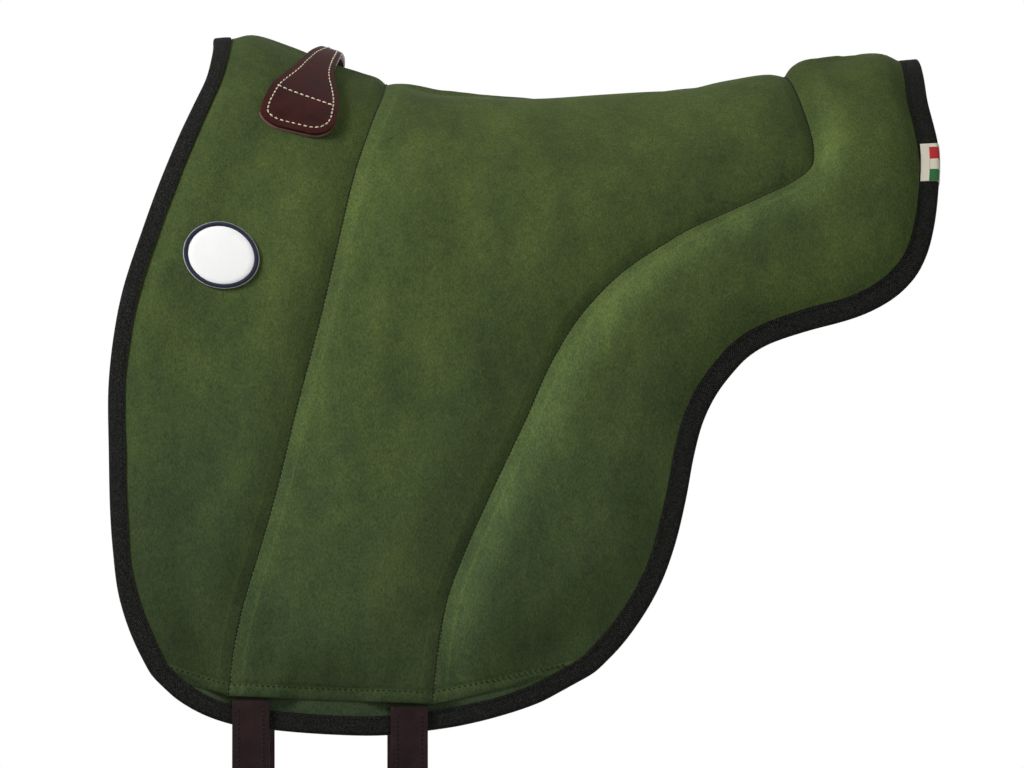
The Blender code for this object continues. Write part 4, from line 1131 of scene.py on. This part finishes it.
def hem_stitches(side, sign):
    """Stitches along the hem, a little above the lip, from binding to binding."""
    places = lip_places(0.002) - np.array([0.0, HEM_INSET])
    places = places[(places[:, 0] > HEM_STITCHED[0]) & (places[:, 0] < HEM_STITCHED[1])]
    x, s = places.T
    lifts = [cushion_lift(name, places, 0.0, sign)[0] for name in PANELS]
    lift = np.choose((x > LIP[1, 0]).astype(int) + (x > LIP[2, 0]), lifts) + STITCH_LIFT
    stitch_line(f"{side}_hem_stitches", x, sign * s, lift, HEM_STITCH, GREEN_THREAD)


seam_stitches("front_seam")
seam_stitches("rear_seam")
hem_stitches("near", -1.0)
hem_stitches("off", 1.0)


# Handle

def handle_sides(along):
    """The handle's front and rear x at a distance from the spine; its tab's corners are quarter ellipses."""
    corners = []
    for edge, across in ((HANDLE_FRONT, 0.0140), (HANDLE_REAR, -0.0215)):
        start = edge[-1][0]
        past = np.clip((along - start) / (HANDLE_REACH - start), 0.0, 1.0)
        corners.append(smooth_curve(edge, along) + across * (1 - np.sqrt(1 - past ** 2)))
    return corners


def handle_sway(s):
    """How far the off half leans to the rear: half a sine wave from the spine to the tab."""
    return HANDLE_SWAY * np.sin(np.pi * np.clip(s / SWAY_REACH, 0.0, 1.0))


def handle_rows(straight, bent):
    """Distances from the spine: even to the rear corner, then closing in as a quarter of a sine."""
    corner = HANDLE_REACH - HANDLE_REAR[-1][0]
    ends = HANDLE_REACH - corner * (1 - np.sin(np.linspace(0, np.pi / 2, bent)[1:]))
    return np.concatenate([np.linspace(0.0, HANDLE_REACH - corner, straight), ends])


def handle_lift(s):
    """Lift of the handle's underside: sewn down at the tabs, free over the spine by a smooth step."""
    return HANDLE_FLOOR + FINGER_GAP * ease(1 - np.abs(s) / HANDLE_SEWN)


def make_handle_layer(name, label, start, crown, finish):
    """One leather layer of the handle, its face domed across as a parabola."""
    along = handle_rows(38, 22)
    front, rear = handle_sides(along)
    share = np.linspace(0.0, 1.0, 13)
    x = both_sides(front[:, None] + (rear - front)[:, None] * share)
    s = np.repeat(near_to_off(along)[:, None], len(share), 1)
    low = handle_lift(s) + start
    dome = crown * (1 - (2 * share - 1) ** 2)
    piece = closed_sheet(label, x + handle_sway(s), s, low, low + HANDLE_LAYER + dome, finish)
    add_rounding(piece, 0.0007, 3)
    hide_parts(name)


def handle_path(inset):
    """The handle's outline drawn in by the inset, as a closed path of places."""
    along = handle_rows(60, 40)
    front, rear = (np.stack([edge, along], 1) for edge in handle_sides(along))
    half = np.concatenate([rear, front[::-1]])
    other = half[::-1] * np.array([1.0, -1.0])
    path = rounded_path(np.concatenate([half, other[1:-1]]), 0.0015, 0.001)
    return rounded_path(path + inward_of(path) * inset, 0.002, 0.001)


def make_handle():
    """Both layers, the edge stitches and a cross line on each tab."""
    make_handle_layer("handle_backing", "handle_under", 0.0, 0.0, CUT_LEATHER)
    upper = HANDLE_LAYER + JOINT_GAP
    make_handle_layer("handle_strap", "handle_top", upper, HANDLE_DOME, BROWN_LEATHER)
    top = 2 * HANDLE_LAYER + JOINT_GAP + 0.00025
    path = handle_path(HANDLE_INSET)
    cross_x, cross_s = (np.linspace(*ends, 60) for ends in HANDLE_CROSS)
    lines = (
        ("edge", *np.concatenate([path, path[:1]]).T, top),
        ("near_cross", cross_x, -cross_s, top + 0.0003), ("off_cross", cross_x, cross_s, top + 0.0003),
    )
    for line, x, s, lift in lines:
        stitch_line(f"handle_{line}_stitches", x + handle_sway(s), s, handle_lift(s) + lift,
                    HANDLE_STITCH, CREAM_THREAD)


make_handle()


# Billets

def strap_plan():
    """Places and quads of a billet's plan: (across, up from the hinge), holes and point included.

    Plain stretches are grids. Round each hole a cell blends from the hole's circle to the cell's
    square rim. The point narrows as a superellipse.
    """
    half, segments = BILLET_WIDTH / 2, 8
    edge = np.linspace(-1.0, 1.0, segments + 1)
    ones = np.ones(segments)
    centres = FIRST_HOLE - BILLET_LENGTH + HOLE_PITCH * np.arange(HOLE_COUNT)
    rim = np.concatenate([
        np.stack([edge[:-1], -ones], 1), np.stack([ones, edge[:-1]], 1),
        np.stack([edge[:0:-1], ones], 1), np.stack([-ones, edge[:0:-1]], 1),
    ])
    square = rim * np.array([half, HOLE_PITCH / 2])
    angle = np.arctan2(square[:, 1], square[:, 0])
    circle = HOLE_RADIUS * np.stack([np.cos(angle), np.sin(angle)], 1)
    blend = np.array([0.0, 0.12, 0.40, 1.0])[:, None, None]
    cell = circle * (1 - blend) + square * blend
    top = np.linspace(0.0, centres[-1] + HOLE_PITCH / 2, 40)
    low = centres[0] - HOLE_PITCH / 2
    down = low + (-BILLET_LENGTH - low) * np.linspace(0.0, 1.0, 22)
    tip = np.clip((-BILLET_LENGTH + BILLET_POINT - down) / BILLET_POINT, 0.0, 1.0)
    width = half * np.maximum((1 - tip ** 2.2) ** 0.62, 0.10)
    plain = [np.stack(np.broadcast_arrays(wide * edge, up[:, None]), -1)
             for wide, up in ((half, top), (width[:, None], down))]
    points, quads, count = [], [], 0
    for grid in [plain[0]] + [cell + np.array([0.0, centre]) for centre in centres] + [plain[1]]:
        rows, columns = grid.shape[:2]
        points.append(grid.reshape(-1, 2))
        quads.append(grid_quads(rows, columns, around=columns == len(rim)) + count)
        count += rows * columns
    return np.concatenate(points), np.concatenate(quads)


def billet_place(side, place):
    """The hinge point of a billet, and its directions across, up and out."""
    sign = -1.0 if side == "near" else 1.0
    x = BILLET_X[place]
    lip = np.interp(x, LIP[:, 0], LIP[:, 1])
    hinge = on_arch(np.array(x), np.array(sign * (lip + HINGE_DROP)), np.array(BILLET_FLOOR + BILLET_STACK / 2))
    across = np.array([-sign, 0.0, 0.0])
    upward = np.array([0.0, -sign * math.cos(FLAP_SLOPE), math.sin(FLAP_SLOPE)])
    return hinge, across, upward, np.cross(across, upward)


def lay_billet(points, outward, side, place):
    """Carry plan points to their billet, bowed outwards down its length by half a sine wave."""
    hinge, across, upward, out = billet_place(side, place)
    bow = 0.0004 * np.sin(np.pi * np.clip(-points[:, 1:] / BILLET_LENGTH, 0, 1))
    return hinge + points[:, :1] * across + points[:, 1:] * upward + (outward + bow) * out


def make_billet_layer(side, place, layer, low, thickness, finish):
    """One leather layer of a billet: the plan twice, walled at its rim and holes."""
    points, quads = STRAP_PLAN
    mesh = plain_mesh(f"{side}_{place}_strap_{layer}", lay_billet(points, low, side, place), quads)
    shell = bmesh.new()
    shell.from_mesh(mesh)
    bmesh.ops.remove_doubles(shell, verts=shell.verts, dist=0.00002)
    raised = bmesh.ops.extrude_face_region(shell, geom=shell.faces[:])
    upper = [part for part in raised["geom"] if isinstance(part, bmesh.types.BMVert)]
    bmesh.ops.translate(shell, verts=upper, vec=thickness * billet_place(side, place)[3])
    bmesh.ops.recalc_face_normals(shell, faces=shell.faces)
    shell.to_mesh(mesh)
    shell.free()
    piece = mesh_piece(mesh, finish, f"{side}_{place}_billet")
    add_rounding(piece, 0.0005, 2)
    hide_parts(f"{side}_{place}_billet_{layer}")


def make_billet(side, place):
    """Two layers and the stitching round their edge."""
    top = BILLET_STACK / 2
    make_billet_layer(side, place, "face", top - FACE_LEATHER, FACE_LEATHER, BILLET_LEATHER)
    make_billet_layer(side, place, "back", -top, BACK_LEATHER, BACK_SIDE)
    pitch, length, radius = BILLET_STITCH
    start, half = -0.004, BILLET_WIDTH / 2 - BILLET_INSET
    tip = np.linspace(0.0, np.pi, 30)
    low = -BILLET_LENGTH + BILLET_POINT + 0.004
    depth = BILLET_POINT - 0.002 - BILLET_INSET
    turn = np.stack([half * np.cos(tip), low - depth * np.sin(tip) ** 0.9], 1)
    path = path_places(np.concatenate([[[half, start]], turn, [[-half, start]]]), pitch)[1:-1]
    out = np.tile(billet_place(side, place)[3], (len(path), 1))
    points = lay_billet(path, top + 0.00005, side, place)
    name = f"{side}_{place}_strap_stitches"
    piece = thread_rows(name, points, out, BROWN_THREAD, length, radius, f"{side}_{place}_billet")


STRAP_PLAN = strap_plan()
for side in ("near", "off"):
    for place in ("front", "rear"):
        make_billet(side, place)
        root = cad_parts[f"{side}_{place}_billet_root"]
        root.data.materials.clear()
        root.data.materials.append(BILLET_LEATHER)


# Badge

def badge_places(radius, turn, extra=0.0):
    """Places of an oval ring: radius a share of the half axes, turned by the tilt."""
    along = (BADGE_HALVES[0] * radius + extra) * np.cos(turn)
    down = (BADGE_HALVES[1] * radius + extra) * np.sin(turn)
    cosine, sine = math.cos(BADGE_TILT), math.sin(BADGE_TILT)
    s = -(BADGE_S + (along * sine + down * cosine) / spread(BADGE_X, BADGE_S))
    return BADGE_X + along * cosine - down * sine, s


def make_patch():
    """The oval field, domed by the square of the radius, closed at its middle and round its rim."""
    spokes = 72
    radius = np.array([0.03, 0.15, 0.30, 0.45, 0.60, 0.74, 0.86, 0.885])
    lift = BADGE_FLOOR + 0.0010 + 0.0004 * (1 - radius ** 2)
    lift[-1] = BADGE_FLOOR + 0.0006
    lift = np.concatenate([lift, np.full(len(radius), BADGE_FLOOR)])
    radius = np.concatenate([radius, radius[::-1]])
    x, s = badge_places(radius[:, None], 2 * np.pi * np.arange(spokes) / spokes)
    points = on_arch(x, s, np.repeat(lift[:, None], spokes, 1)).reshape(-1, 3)
    last = (len(radius) - 1) * spokes
    faces = grid_quads(len(radius), spokes, around=True).tolist()
    faces += [list(range(spokes))[::-1], list(range(last, last + spokes))]
    piece = mesh_piece(plain_mesh("patch_field", points, faces), PATCH_CLOTH, sharp=50)
    face_outward(piece)
    corner_map(piece, x, s)
    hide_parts("badge_patch")


def make_ring(name, share, width, height, base, finish):
    """A raised ring round the patch: a flattened round section carried round the oval."""
    spokes, sides = 144, 12
    turn = (2 * np.pi * np.arange(spokes) / spokes)[:, None]
    angle = 2 * np.pi * np.arange(sides) / sides
    out = width / 2 * np.cos(angle)
    lift = base + height * np.maximum(np.sin(angle), -0.15)
    x, s = badge_places(share, turn, out)
    points = on_arch(x, s, np.broadcast_to(lift, x.shape)).reshape(-1, 3)
    piece = mesh_piece(plain_mesh(name, points, grid_quads(spokes, sides, True, True)), finish)
    face_outward(piece)
    corner_map(piece, turn * (BADGE_HALVES[0] + BADGE_HALVES[1]) / 2, out)
    return piece


make_patch()
border = make_ring("patch_border", 0.945, 0.0033, 0.0019, BADGE_FLOOR + 0.0002, NAVY_THREAD)
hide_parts("badge_border")
edge_cord = make_ring("patch_edge_cord", 1.005, 0.0009, 0.0007, BADGE_FLOOR + 0.0003, SILVER_THREAD)


# Stage, camera and light

def seen_directly(tree):
    """1 for a ray from the eye, a reflection or a clear surface, 0 for the light that surfaces share."""
    ray = node(tree, "ShaderNodeLightPath").outputs
    shown = maths("MAXIMUM", ray["Is Glossy Ray"], ray["Is Transmission Ray"])
    return maths("MAXIMUM", ray["Is Camera Ray"], shown)


def make_floor():
    """A wide pale floor below the billets, a little brighter far away, so that its edge melts away."""
    half, height = 3.0, -1.05
    corners = [(-half, -half, height), (half, -half, height), (half, half, height), (-half, half, height)]
    made, tree = start_material("pale floor", 0.9)
    place = object_place(tree)
    away = node(tree, "ShaderNodeVectorMath", {0: place}, operation="LENGTH").outputs["Value"]
    far = maths("MULTIPLY_ADD", away, 0.55, -0.75, clamp=True)
    colours = {
        "Base Color": tones(noise(place, 3.0), (0.3, (0.60, 0.60, 0.60)), (0.7, (0.63, 0.63, 0.63))),
        "Emission Strength": 1.0,
        "Emission Color": grey(times(seen_directly(tree), times_plus(far, 0.30, 0.58))),
    }
    for key, value in colours.items():
        feed(tree.nodes["Principled BSDF"].inputs[key], value)
    mesh = plain_mesh("floor", corners, [(0, 1, 2, 3)])
    mesh.materials.append(made)
    put("floor", mesh)


def make_world(strength):
    """Even pale light, plain white where the camera sees it."""
    world = bpy.data.worlds.new("pale room")
    bpy.context.scene.world = world
    world.use_nodes = True
    tree = world.node_tree
    tree.nodes.clear()
    level = times_plus(seen_directly(tree), 1.0 - strength, strength)
    light = node(tree, "ShaderNodeBackground", {"Color": (1.0, 1.0, 1.0), "Strength": level})
    node(tree, "ShaderNodeOutputWorld", {"Surface": light.outputs[0]})


def add_lamp(name, place, aim, size, power):
    """A square soft light aimed at a point."""
    lamp = bpy.data.lights.new(name, "AREA")
    lamp.shape, lamp.size, lamp.energy = "SQUARE", size, power
    item = put(name, lamp)
    item.location = place
    way = np.array(aim) - np.array(place)
    item.rotation_euler = (math.atan2(math.hypot(way[0], way[1]), -way[2]), 0.0, math.atan2(-way[0], way[1]))
    item.visible_camera = False


# The photograph's 1024 pixels span this length in the plane of the spine
PHOTO_SPAN = 1024 * 0.00078


def make_camera():
    """The photograph's view: level, six metres off the near side."""
    lens = bpy.data.cameras.new("camera")
    place, aim = (-0.174, -6.0, -0.204), (-0.0425, 0.0, -0.204)
    along, away = aim[0] - place[0], aim[1] - place[1]
    lens.sensor_width = 36.0
    lens.lens = lens.sensor_width * math.hypot(along, away) / PHOTO_SPAN
    lens.clip_end = 60.0
    item = put("camera", lens)
    item.location = place
    item.rotation_euler = (math.pi / 2, 0.0, -math.atan2(along, away))
    bpy.context.scene.camera = item


make_floor()
make_world(0.17)
make_camera()
add_lamp("key", (-1.05, -0.80, 0.52), (-0.05, -0.18, -0.12), 0.5, 16.5)
add_lamp("fill", (1.1, -2.7, 0.0), (0.0, 0.0, -0.2), 1.6, 19.0)
add_lamp("off_side", (0.5, 2.6, -0.2), (0.0, 0.1, -0.2), 1.6, 40.0)
add_lamp("back_top", (0.3, 0.9, 1.9), (0.0, 0.1, -0.1), 1.0, 6.5)
bpy.context.scene.view_settings.view_transform = "Standard"
